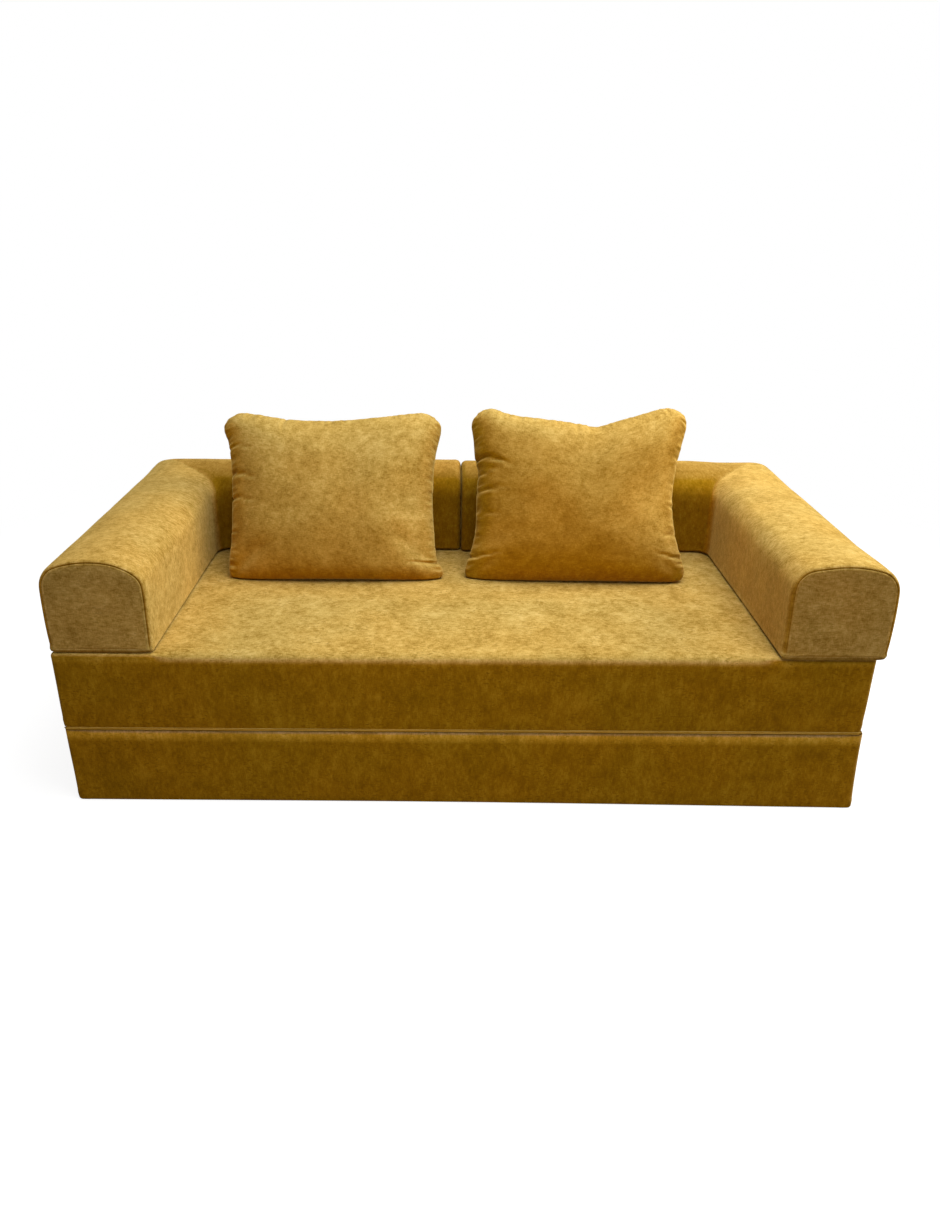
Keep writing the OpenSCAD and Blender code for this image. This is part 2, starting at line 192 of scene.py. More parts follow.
# How much brighter the shaded and lit pile are under a painted highlight, where an edge catches light
HIGHLIGHT_ON_SHADED = (2.2, 2.5, 8.0, 1.0)
HIGHLIGHT_ON_LIT = (1.5, 1.5, 1.4, 1.0)
# Where the painted light comes from: a face turned this way is painted lit, one turned away shaded
PAINTED_LIGHT_FROM = (0.25, 0.70, 0.65)
PAINTED_LIGHT_SPAN = (-0.66, 0.22)


def chenille(name, fleck=1.0, blotch=1.0, streak=1.0, tone=0.0, crossed=False, line=0.0,
             reach=0.0085, sheen=0.6, amber=3.2, cast=(1.0, 1.0, 1.0)):
    """Crushed-pile chenille. Its pattern lies along the piece's own cloth map, in metres, with
    the streaks along U, or on the upright faces of a crossed one along V. Its colour is painted
    light and shade: lit where a face turns to the light and shaded where it turns away, moved by
    the tone and each point's painted light. Line is the height of a crevice, where painted shade
    darkens the pile within that reach."""
    finish = Finish(bpy.data.materials.new(name))
    cloth = finish.add("UVMap", {"uv_map": "cloth"})
    facing = finish.add("TexCoord", out=1)
    turned = finish.add("VectorMath", {"operation": "DOT_PRODUCT"}, {0: facing, 1: PAINTED_LIGHT_FROM},
                        out=1)
    # Each point's own painted light, lighter or darker than its face's turn to the light gives
    nap = finish.painted("nap")
    worn = finish.painted("worn")
    # How lit the face is painted: its turn to the light, moved by the point's painted light and tone
    lit = finish.span(turned + nap + tone, *PAINTED_LIGHT_SPAN)
    hue = finish.noise(cloth, 3.4, shift=(1.7, 4.4, 0.0))
    wide = finish.noise(cloth, 10.0, 3.0, 0.6)
    patch = finish.noise(cloth, 38.0, 4.0, 0.62)
    crush = finish.noise(cloth, 130.0, 4.0, 0.66, stretch=(0.50, 1.0, 1.0), shift=(3.1, 0.7, 0.0))
    if crossed:
        rise = finish.add("SeparateXYZ", {}, {"Vector": facing}, out=2)
        flat = finish.span(rise, 0.3, 0.8)
        upright = finish.noise(cloth, 130.0, 4.0, 0.66, stretch=(1.0, 0.38, 1.0),
                               shift=(3.1, 0.7, 0.0))
        crush = upright + (crush - upright) * flat
        drawn = finish.noise(cloth, 44.0, 4.0, 0.62, stretch=(1.0, 0.42, 1.0),
                             shift=(2.0, 2.0, 0.0))
        patch = drawn + (patch - drawn) * flat
    yarn = finish.noise(cloth, 520.0, stretch=(0.20, 1.0, 1.0))
    warp = finish.noise(cloth, 520.0, stretch=(1.0, 0.18, 1.0), shift=(0.0, 5.3, 0.0))
    lay = 0.5 + blotch * (0.8 * (patch - 0.5) + 0.55 * (wide - 0.5))
    lay = lay + streak * 0.6 * (crush - 0.5) + 0.5 * (yarn - 0.5) + 0.45 * (warp - 0.5)
    deep = finish.add("ValToRGB", {"stops": list(zip(LAYS, SHADED_PILE))}, {"Fac": lay})
    pale = finish.add("ValToRGB", {"stops": list(zip(LAYS, LIT_PILE))}, {"Fac": lay})
    colour = finish.mix(lit, deep, pale)
    red, green, blue = cast
    tint = finish.mix(finish.span(hue, 0.35, 0.65), rgb(1.03 * red, 0.985 * green, 0.90 * blue),
                      rgb(0.98 * red, green, 1.01 * blue))
    colour = finish.mix(1.0, colour, tint, "MULTIPLY")
    # Painted light and shade in the hue: warmer where lit turns to shaded, cooler deep in painted shade
    warm = finish.mix(1.0, colour, rgb(1.02, 0.96, 0.82), "MULTIPLY")
    colour = finish.mix(amber * lit * (1.0 - lit), colour, warm)
    shy = finish.span(nap, -0.04, -0.5)
    shaded = finish.mix(1.0, colour, rgb(0.76, 0.90, 1.5), "MULTIPLY")
    colour = finish.mix(shy * (1.0 - lit) * (1.0 - lit), colour, shaded)
    crowd = finish.span(finish.noise(cloth, 15.0, shift=(6.0, 1.0, 0.0)), 0.43, 0.57)
    mark = finish.span(finish.noise(cloth, 185.0, 3.0, 0.6, stretch=(0.45, 1.0, 1.0),
                                    shift=(9.0, 2.0, 0.0)), 0.54, 0.63)
    darker = finish.mix(lit, rgb(*SHADED_PILE[0]), rgb(*LIT_PILE[0]))
    colour = finish.mix(0.6 * fleck * crowd * mark, colour, darker)
    # A painted highlight brightens the pile where an edge or an end catches the light
    highlighted = finish.mix(1.0, colour, finish.mix(lit, HIGHLIGHT_ON_SHADED, HIGHLIGHT_ON_LIT), "MULTIPLY")
    colour = finish.mix(worn, colour, highlighted)
    # Painted shade in the crevice at the line's height, weaker where the point is painted light, and the dark seam
    # lines
    up = finish.add("SeparateXYZ", {}, {"Vector": finish.own_place()}, out=2)
    off = up - line
    painted_shade = finish.span(off.math("ABSOLUTE", off), 0.24 * reach, reach, 0.97, 0.0)
    painted_shade = painted_shade * finish.span(nap, 0.15, 0.32, 1.0, 0.25)
    stitch = finish.painted("stitch")
    height = 0.5 * yarn + 0.4 * warp + 0.6 * crush + 0.5 * patch
    bump = finish.add("Bump", {}, {"Strength": 0.5, "Distance": 0.0016, "Height": height})
    rough = finish.span(lay, 0.2, 0.8, 0.92, 0.78)
    return finish.surface({
        "Base Color": colour, "Roughness": rough, "Normal": bump,
        "Specular IOR Level": 0.0,
        "Sheen Weight": sheen, "Sheen Roughness": 0.40, "Sheen Tint": rgb(1.0, 0.74, 0.24),
    }, painted_shade.math("MAXIMUM", painted_shade, 0.8 * stitch), rgb(*DARK_SEAM_AND_SHADE))


def speckled(name, colour, other, scale, bump_depth, roughness=0.9, stretch=(1, 1, 1)):
    """A plain soft or woven stuff whose colour and height vary a little, on object coordinates."""
    finish = Finish(bpy.data.materials.new(name))
    place = finish.own_place()
    grain = finish.noise(place, scale, 4.0, 0.6, stretch=stretch)
    broad = finish.noise(place, scale / 9)
    shade = finish.span(0.6 * grain + 0.4 * broad, 0.35, 0.65)
    bump = finish.add("Bump", {}, {"Strength": 0.6, "Distance": bump_depth, "Height": grain})
    return finish.surface({
        "Base Color": finish.mix(shade, colour, other), "Roughness": roughness, "Normal": bump,
        "Specular IOR Level": 0.2,
    })


def lining(name):
    """Dark non-slip lining with rows of small raised dots."""
    finish = Finish(bpy.data.materials.new(name))
    place = finish.own_place()
    dots = finish.add("TexVoronoi", {"feature": "F1"}, {
        "Vector": place, "Scale": 90.0, "Randomness": 0.0,
    })
    dot = finish.span(dots, 0.22, 0.34, 1.0, 0.0)
    weave = finish.noise(place, 700.0)
    colour = finish.mix(dot, finish.mix(weave, rgb(0.030, 0.027, 0.024), rgb(0.07, 0.062, 0.055)),
                        rgb(0.018, 0.018, 0.019))
    bump = finish.add("Bump", {}, {
        "Strength": 0.8, "Distance": 0.0008, "Height": dot + 0.3 * weave,
    })
    return finish.surface({
        "Base Color": colour, "Roughness": finish.span(dot, 0.0, 1.0, 0.95, 0.7), "Normal": bump,
        "Specular IOR Level": 0.12,
    })


def brass(name):
    """Dull antique metal of the sliders, with brighter patches of wear."""
    finish = Finish(bpy.data.materials.new(name))
    place = finish.own_place()
    wear = finish.noise(place, 260.0, 4.0, 0.6)
    colour = finish.mix(finish.span(wear, 0.4, 0.65), rgb(0.25, 0.19, 0.10),
                        rgb(0.60, 0.48, 0.27))
    bump = finish.add("Bump", {}, {"Strength": 0.25, "Distance": 0.0002, "Height": wear})
    return finish.surface({
        "Base Color": colour, "Metallic": 1.0, "Normal": bump,
        "Roughness": finish.span(wear, 0.3, 0.7, 0.52, 0.30),
    })


# Each cloth's line is where painted shade falls in a crevice: in the gap between the slabs, along the feet of the
# bolsters and pillows on the seat, and under the hinge's piping
SLAB_CLOTH = chenille("slab_chenille", crossed=True, line=HINGE_Z - 0.002, reach=0.0042,
                      sheen=0.35, fleck=1.4, blotch=0.95, streak=1.25)
BOLSTER_CLOTH = chenille("bolster_chenille", fleck=0.8, blotch=0.8, streak=1.4, line=SEAT_TOP,
                         reach=0.0075, sheen=0.45, amber=1.7, cast=(1.0, 0.965, 0.94))
PILLOW_CLOTH = chenille("pillow_chenille", fleck=0.5, blotch=0.85, streak=1.0, tone=0.17,
                        line=SEAT_TOP, reach=0.007, amber=2.2, cast=(1.01, 0.985, 0.95))
TRIM_CLOTH = chenille("trim_chenille", fleck=0.3, blotch=0.4, streak=0.4, tone=-0.2,
                      line=HINGE_Z - 0.0022, reach=0.0032, sheen=0.10)
FOAM = speckled("cut_foam", rgb(0.80, 0.68, 0.38), rgb(0.93, 0.86, 0.62), 420.0, 0.0010)
WADDING = speckled("fibre_wadding", rgb(0.80, 0.80, 0.78), rgb(0.95, 0.95, 0.94), 160.0, 0.0025,
                   stretch=(1, 1, 0.5))
TICKING = speckled("pillow_ticking", rgb(0.86, 0.86, 0.84), rgb(0.95, 0.95, 0.94), 900.0, 0.0004)
HOOK_LOOP = speckled("hook_and_loop", rgb(0.022, 0.018, 0.014), rgb(0.07, 0.06, 0.05), 1400.0,
                     0.0006)
ZIP_TAPE = speckled("zip_tape", rgb(0.30, 0.17, 0.035), rgb(0.46, 0.28, 0.07), 1500.0, 0.0003,
                    stretch=(1, 1, 0.3))
ZIP_COIL = speckled("zip_coil", rgb(0.40, 0.25, 0.06), rgb(0.52, 0.34, 0.10), 500.0, 0.0001, 0.45)
UNDERSIDE = lining("non_slip_lining")
BRASS = brass("zip_metal")


def placed(name, data):
    """A new object in the scene."""
    thing = bpy.data.objects.new(name, data)
    bpy.context.scene.collection.objects.link(thing)
    return thing


def shaped(bm, name, material):
    """A new object with a bmesh's shape, shaded smooth."""
    mesh = bpy.data.meshes.new(name)
    bm.to_mesh(mesh)
    bm.free()
    mesh.shade_smooth()
    mesh.materials.append(material)
    return placed(name, mesh)


def finished(bm, name, material, body, slot, *nodes):
    """Turns a bmesh into a smooth piece that rides on a body and stands for those nodes."""
    piece = shaped(bm, name, material)
    if body:
        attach(piece, body)
    if nodes:
        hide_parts(*nodes)
    return piece


def smooth_step(low, high, value):
    """Eases from 0 at low to 1 at high, which may lie either way round."""
    share = min(max((value - low) / (high - low), 0.0), 1.0)
    return share * share * (3 - 2 * share)


def bell(value, middle, spread):
    """1 at the middle, falling off either way over the spread."""
    return exp(-((value - middle) / spread) ** 2)


def drift(x, y, z):
    """Smooth noise around 0 at a place."""
    return noise.noise(Vector((x, y, z)))


def through(line, value):
    """Height at a place on the smooth curve through a few (place, height) pairs."""
    last = len(line) - 1
    k = max([j for j in range(last) if value >= line[j][0]] or [0])

    def slope(j):
        one, two = line[max(j - 1, 0)], line[min(j + 1, last)]
        return (two[1] - one[1]) / (two[0] - one[0])

    (start, low), (end, high) = line[k], line[k + 1]
    span = end - start
    t = min(max((value - start) / span, 0.0), 1.0)
    ease = t * t * (3 - 2 * t)
    return (low + (high - low) * ease + span * slope(k) * t * (1 - t) ** 2
            - span * slope(k + 1) * t * t * (1 - t))


def lay_cloth(bm, rule):
    """Gives each face corner its place in the cloth map: rule(place, normal) says where."""
    cloth = bm.loops.layers.uv.new("cloth")
    bm.normal_update()
    for face in bm.faces:
        for loop in face.loops:
            loop[cloth].uv = rule(loop.vert.co, face.normal)


def cut_grid(bm, axis, places):
    """Cuts the whole mesh at each place along an axis."""
    normal = Vector([float(k == axis) for k in range(3)])
    for place in places:
        everything = bm.verts[:] + bm.edges[:] + bm.faces[:]
        bmesh.ops.bisect_plane(bm, geom=everything, plane_co=normal * place, plane_no=normal,
                               dist=1e-6)


def spaced(low, high, step):
    """Even places between two ends, about a step apart, without the ends."""
    count = max(round((high - low) / step), 1)
    return [low + (high - low) * k / count for k in range(1, count)]


def round_edges(bm, edges, radius, segments):
    """Bevels the edges to a round of that radius."""
    bmesh.ops.bevel(bm, geom=edges, offset=radius, offset_type="OFFSET", affect="EDGES",
                    segments=segments, profile=0.5, material=-1)


def point_layers(bm, *names):
    """New layers that hold a number for each point."""
    return [bm.verts.layers.float.new(name) for name in names]


def numbered_grid(bm, across, upward):
    """The points of a new grid, each with its column and row."""
    made = bmesh.ops.create_grid(bm, x_segments=across, y_segments=upward, size=1.0)
    return [(vert, round((vert.co.x + 1) / 2 * across), round((vert.co.y + 1) / 2 * upward))
            for vert in made["verts"]]


def smooth_out(bm):
    """One round of smooth subdivision."""
    bmesh.ops.subdivide_edges(bm, edges=bm.edges[:], cuts=1, use_grid_fill=True, smooth=1.0,
                              smooth_falloff="SMOOTH", use_smooth_even=True)


# Slab covers
SLAB_CORNER_R = 0.015
SLAB_EDGE_R = 0.007
SLAB_FOOT_R = 0.006
GRID_STEP = 0.024
UNDERSIDE_BORDER = 0.030
SIDE_SWELL = 0.0030
FRONT_SWELL = 0.0018
SEAT_CROWN = 0.0025
# Where the arms' inner sides cross the seat, as distances from its middle: where they press it,
# where its front edge is painted shaded under them, and where it is free of them
ARM_PRESS = (0.69, 0.75)
ARM_SHADE = (0.69, 0.74)
ARM_FREE = (0.66, 0.74)
# How far the left and the right arm's front end press the seat down, and the distances from the
# seat's front over which that grows
PRESS_LEFT, PRESS_RIGHT = 0.0020, 0.0045
PRESS_BACK, PRESS_FRONT = 0.17, 0.02
# Painted shade on the seat's front edge under the arms, and how far down the front the edge's
# painted light reaches
UNDER_ARM_PAINTED_SHADE = -0.30
LIP_LIGHT_REACH = 0.016
# How much lighter the slab's underside is painted
UNDERSIDE_PAINTED_LIGHT = 0.5
# One less this share of the slab's depth is how far past its front the underside's border is measured from
FOLD_KEEP = 0.986
# How deep a cover is let in for what is sewn flat on it, so that this shows
LET_IN = 0.0005
# How far the wadding lies inside the face of its cover
WADDING_IN = 0.0045


def pressed(x, y):
    """How far the front end of an arm presses the seat down there."""
    depth = PRESS_LEFT if x < 0 else PRESS_RIGHT
    return (depth * smooth_step(*ARM_PRESS, abs(x))
            * smooth_step(SEAT_LOW.y + PRESS_BACK, SEAT_LOW.y + PRESS_FRONT, y))


def round_lip(place, edge, radius, share):
    """Moves a point near the front's upper edge towards a wider arc."""
    off = Vector((0.0, place.y - edge.y - radius, place.z - edge.z + radius))
    if off.y < 0 < off.z:
        place += share * (off * (radius / off.length) - off)


def slab_piece(name, low, high, body, crown, seed, reach, toes, tuck, lip, lip_end, lip_light, edge_highlight):
    """A foam slab in its cover: soft edges, sides that swell a little, and a slight crown. The
    sides reach past the solid by so much and draw in at the foot by their tuck. The front's foot
    stands forward by its toes at the left, middle and right. Its upper edge is as round as its
    lip, up to so far from the middle; the pile there is painted lighter by so much, and a
    painted highlight of so much lies below that."""
    low, high = low.copy(), high.copy()
    low.x -= reach[0]
    high.x += reach[1]
    bm = bmesh.new()
    nap, worn = point_layers(bm, "nap", "worn")
    bmesh.ops.create_cube(bm, size=1.0)
    size = high - low
    middle = (low + high) / 2
    bmesh.ops.scale(bm, vec=size, verts=bm.verts)
    bmesh.ops.translate(bm, vec=middle, verts=bm.verts)
    ends = [e for e in bm.edges if abs(e.verts[0].co.z - e.verts[1].co.z) > size.z / 2]
    round_edges(bm, ends, SLAB_CORNER_R, 6)
    for level, radius, steps in ((high.z, SLAB_EDGE_R, 4), (low.z, SLAB_FOOT_R, 3)):
        rim = [e for e in bm.edges if all(abs(v.co.z - level) < 1e-5 for v in e.verts)]
        round_edges(bm, rim, radius, steps)
    cut_grid(bm, 0, spaced(low.x + SLAB_CORNER_R, high.x - SLAB_CORNER_R, GRID_STEP))
    lips = [SLAB_EDGE_R + (lip - SLAB_EDGE_R) * k / 4 for k in range(1, 5)]
    cut_grid(bm, 1, [low.y + r for r in lips]
             + spaced(low.y + lip, high.y - SLAB_CORNER_R, GRID_STEP))
    cut_grid(bm, 2, spaced(low.z + SLAB_FOOT_R, high.z - lip, GRID_STEP)
             + [high.z - r for r in lips])
    edge = Vector((0.0, low.y, high.z))
    for vert in bm.verts:
        round_lip(vert.co, edge, lip, smooth_step(lip_end + 0.035, lip_end, abs(vert.co.x)))
        x, y, z = vert.co
        up = (z - low.z) / size.z
        belly = max(4 * up * (1 - up), 0.0) ** 0.6
        across = 2 * (x - middle.x) / size.x
        along = 2 * (y - middle.y) / size.y
        by_side, by_front = smooth_step(0.9, 1.0, abs(across)), smooth_step(0.8, 1.0, abs(along))
        at_front = smooth_step(0.9, 1.0, -along)
        side = SIDE_SWELL * belly * (1 - along ** 4) * by_side
        front = FRONT_SWELL * belly * (1 - across ** 4) * by_front
        slack = drift(7 * x, 7 * y, 9 * z + seed)
        ripple = drift(19 * x + seed, 19 * y, 24 * z)
        free = (1 - smooth_step(*ARM_FREE, abs(x))) * (1 - smooth_step(-0.10, 0.0, y))
        top = smooth_step(0.8, 1.0, up)
        vert.co.x += (side + 0.0010 * slack * belly) * (1 if across > 0 else -1)
        if along < 0:
            vert.co.y -= front + 0.0006 * slack * belly
            toe = through([(-1.0, toes[0]), (0.0, toes[1]), (1.0, toes[2])], across)
            vert.co.y -= toe * (1 - up) ** 1.5 * by_front
        vert.co.z += top * crown * free * (0.7 + 0.4 * slack + 0.12 * ripple)
        vert.co.z -= top * (LET_IN * (1 - free) + pressed(x, y)) * (crown > 0)
        drawn = tuck[0] if across < 0 else -tuck[1]
        vert.co.x += drawn * (1 - up) ** 1.5 * by_side
        # The front's upper edge painted lighter, painted shaded under the arms, with a painted highlight just
        # below it
        under = smooth_step(*ARM_SHADE, abs(x)) * (crown > 0)
        edge_painted_light = lip_light * (1 - under) + UNDER_ARM_PAINTED_SHADE * under
        vert[nap] = edge_painted_light * bell(high.z - z, 0.0, LIP_LIGHT_REACH) * at_front
        vert[worn] = edge_highlight * at_front * bell(high.z - z, 0.011, 0.009)
        if up < 1e-4:
            front_edge = low.y - (1 - FOLD_KEEP) * size.y
            border = max(abs(x) - high.x, y - high.y, front_edge - y) + UNDERSIDE_BORDER
            vert.co.z += LET_IN * smooth_step(0.0, -0.004, border)
            # The underside painted lighter
            vert[nap] = UNDERSIDE_PAINTED_LIGHT

    def rule(place, normal):
        if abs(normal.x) > 0.75:
            return place.y + 5.0 + seed, place.z
        if normal.z < -0.75:
            return place.x + 11.0 + seed, place.y
        fall = high.z - place.z
        return place.x + seed, place.y + (fall if place.y > middle.y else -fall)

    inner = bm.copy()
    bmesh.ops.recalc_face_normals(inner, faces=inner.faces)
    inner.normal_update()
    for vert in inner.verts:
        vert.co -= vert.normal * WADDING_IN
    wrap = finished(inner, name + "_wadding", WADDING, body, "wadding", body + "_wadding")
    smooth_out(bm)
    for vert in bm.verts:
        vert.co.z = max(vert.co.z, low.z)
    lay_cloth(bm, rule)
    piece = finished(bm, name, SLAB_CLOTH, body, "chenille", body + "_cover")
    if max(toes) > 0:
        for layer in (wrap, piece):
            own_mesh(layer)


# Bolsters. A station of the sweep says where a point lies that is so far across the section
HALF_W = BOLSTER_W / 2
SHOULDER_X = HALF_W - SHOULDER_R
CROWN_Z = BOLSTER_H - CROWN_R
SHOULDER_Z = CROWN_Z + sqrt((CROWN_R - SHOULDER_R) ** 2 - SHOULDER_X ** 2)
CROWN_TILT = degrees(atan2(SHOULDER_X, SHOULDER_Z - CROWN_Z))
FOOT_STEPS, SHOULDER_STEPS, CROWN_STEPS = 3, 4, 14
LIP_Z = 0.008
# Edge of the arm's end panel, as (inset, distance from the end), with the seam's valley
END_EDGE = ((0.0125, -0.0005), (0.0098, -0.0002), (0.0087, 0.0007), (0.0080, 0.0024),
            (0.0072, 0.0014), (0.0054, 0.0011), (0.0030, 0.0026), (0.0012, 0.0056),
            (0.0002, 0.0092), (0.0, 0.0130))
# Depth of the same rings at the foot, where there is no seam
FOOT_EDGE = (-0.0005, -0.0004, -0.0002, 0.0, 0.0004, 0.0008, 0.0014, 0.0022, 0.0034, 0.0060)
SEAM_RING = 3
# How dark the seam line round an arm's end is, and the painted shade in the gap at a back's tail
SEAM_DARK, TAIL_PAINTED_SHADE = 0.55, 1.1
# A painted highlight on an arm's end panel
END_HIGHLIGHT = 0.13
# The painted light of an arm's end panel, of its rings and of a back, against that of the rest
END_PAINTED_LIGHT = 0.50
EDGE_PAINTED_LIGHTS = (END_PAINTED_LIGHT, END_PAINTED_LIGHT, 0.22, 0.05, 0.18, 0.24, 0.22, 0.16, 0.09, 0.04)
BACK_PAINTED_LIGHT = -0.88
TAIL_R = 0.017
TAIL_STEPS = 6
TURN_STEPS = 14
STATION_STEP = 0.013
SIDE_BELLY = 0.0035
BACK_RISE = 0.0095
# How much lighter the left bolster's end is painted, and how much darker the right one's
END_PAINTED_LIGHT_SHIFT = 0.05


def arc(centre, radius, start, end, count):
    """Points along an arc, in degrees, without its last one."""
    turns = [radians(start + (end - start) * k / count) for k in range(count)]
    return [(centre[0] + radius * cos(a), centre[1] + radius * sin(a)) for a in turns]


def side_heights():
    """Heights up a bolster's side: close together at the lip along the foot."""
    low = [FOOT_R, FOOT_R + 0.002, FOOT_R + 0.005, FOOT_R + 0.010]
    return low + spaced(low[-1], SHOULDER_Z, 0.013)


def section(inset):
    """Bolster section as (across, up), from the outer foot over the top to the inner foot and
    back along the floor. Its four stretches have as many points at any inset."""
    foot = max(FOOT_R, inset)
    heights = side_heights()
    outer, inner = HALF_W - SHOULDER_X, HALF_W + SHOULDER_X
    shoulder = SHOULDER_R - inset
    points = arc((foot, foot), foot - inset, 225, 180, FOOT_STEPS)
    points += [(inset, max(up, foot)) for up in heights]
    points += arc((outer, SHOULDER_Z), shoulder, 180, 135, SHOULDER_STEPS)
    points += arc((outer, SHOULDER_Z), shoulder, 135, 90 + CROWN_TILT, SHOULDER_STEPS - 1)
    points += arc((HALF_W, CROWN_Z), CROWN_R - inset, 90 + CROWN_TILT, 90 - CROWN_TILT,
                  CROWN_STEPS)
    points += arc((inner, SHOULDER_Z), shoulder, 90 - CROWN_TILT, 45, SHOULDER_STEPS - 1)
    points += arc((inner, SHOULDER_Z), shoulder, 45, 0, SHOULDER_STEPS)
    points += [(BOLSTER_W - inset, max(up, foot)) for up in reversed(heights)]
    points += arc((BOLSTER_W - foot, foot), foot - inset, 0, -45, FOOT_STEPS)
    corner = foot - (foot - inset) * sqrt(0.5)
    steps = CROWN_STEPS + 2 * (SHOULDER_STEPS - 1)
    span = BOLSTER_W - 2 * corner
    points += [(BOLSTER_W - corner - span * k / steps,
                max(inset, corner * (1 - 6 * k / steps), corner * (1 - 6 * (1 - k / steps))))
               for k in range(steps)]
    return points


def turn_radius(across):
    """Radius of the bend in plan: wide at the outer and inner faces and tighter on the crown."""
    share = across / BOLSTER_W
    ends = (1 - share) * OUTER_CORNER_R + share * INNER_CORNER_R
    return MIDDLE_CORNER_R + (ends - MIDDLE_CORNER_R) * (2 * share - 1) ** 2


def bolster_stations(arm_l, back_l, inner):
    """Stations from the arm's end round the corner to the back's end, each as an inset and a
    rule that turns the distance across the section into a place in plan. Inner is how far
    inside its cover the layer lies."""
    edge = END_EDGE if inner == 0 else [(0.004, 0.0), (0.0012, 0.0012), (0.0, 0.004)]
    stations = [(inner + inset, lambda a, d=inner + depth: (a, d - arm_l))
                for inset, depth in edge]
    first = inner + edge[-1][1]
    runs = round(arm_l / STATION_STEP)
    stations += [
        (inner, lambda a, t=k / runs: (a, (first - arm_l) * (1 - t) - (a + turn_radius(a)) * t))
        for k in range(1, runs)
    ]
    stations += [
        (inner, lambda a, c=cos(q), s=sin(q):
            (a + turn_radius(a) * (1 - c), -a - turn_radius(a) * (1 - s)))
        for q in (pi / 2 * k / TURN_STEPS for k in range(TURN_STEPS + 1))
    ]
    runs = round(back_l / STATION_STEP)
    last = back_l - TAIL_R
    tail_r = TAIL_R - inner
    stations += [
        (inner, lambda a, t=k / runs: ((a + turn_radius(a)) * (1 - t) + last * t, -a))
        for k in range(1, runs)
    ]
    stations += [
        (inner + tail_r * (1 - cos(q)), lambda a, s=sin(q): (last + tail_r * s, -a))
        for q in (pi / 2 * k / TAIL_STEPS for k in range(TAIL_STEPS + 1))
    ]
    return stations


def cover_cap(bm, rim, steps_up, steps_over, puff):
    """Closes an end with a grid drawn between the four stretches of its rim."""
    made = numbered_grid(bm, steps_over, steps_up)
    start = steps_up

    def at(index):
        return Vector(rim[index % len(rim)])

    for vert, i, j in made:
        s, t = i / steps_over, j / steps_up
        low, high = at(-i), at(start + i)
        left, right = at(j), at(start + steps_over + steps_up - j)
        corners = ((1 - s) * (1 - t) * at(0) + s * (1 - t) * at(-steps_over)
                   + (1 - s) * t * at(start) + s * t * at(start + steps_over))
        vert.co = (1 - t) * low + t * high + (1 - s) * left + s * right - corners
        vert.co += puff(s, t)
    return [vert for vert, i, j in made]


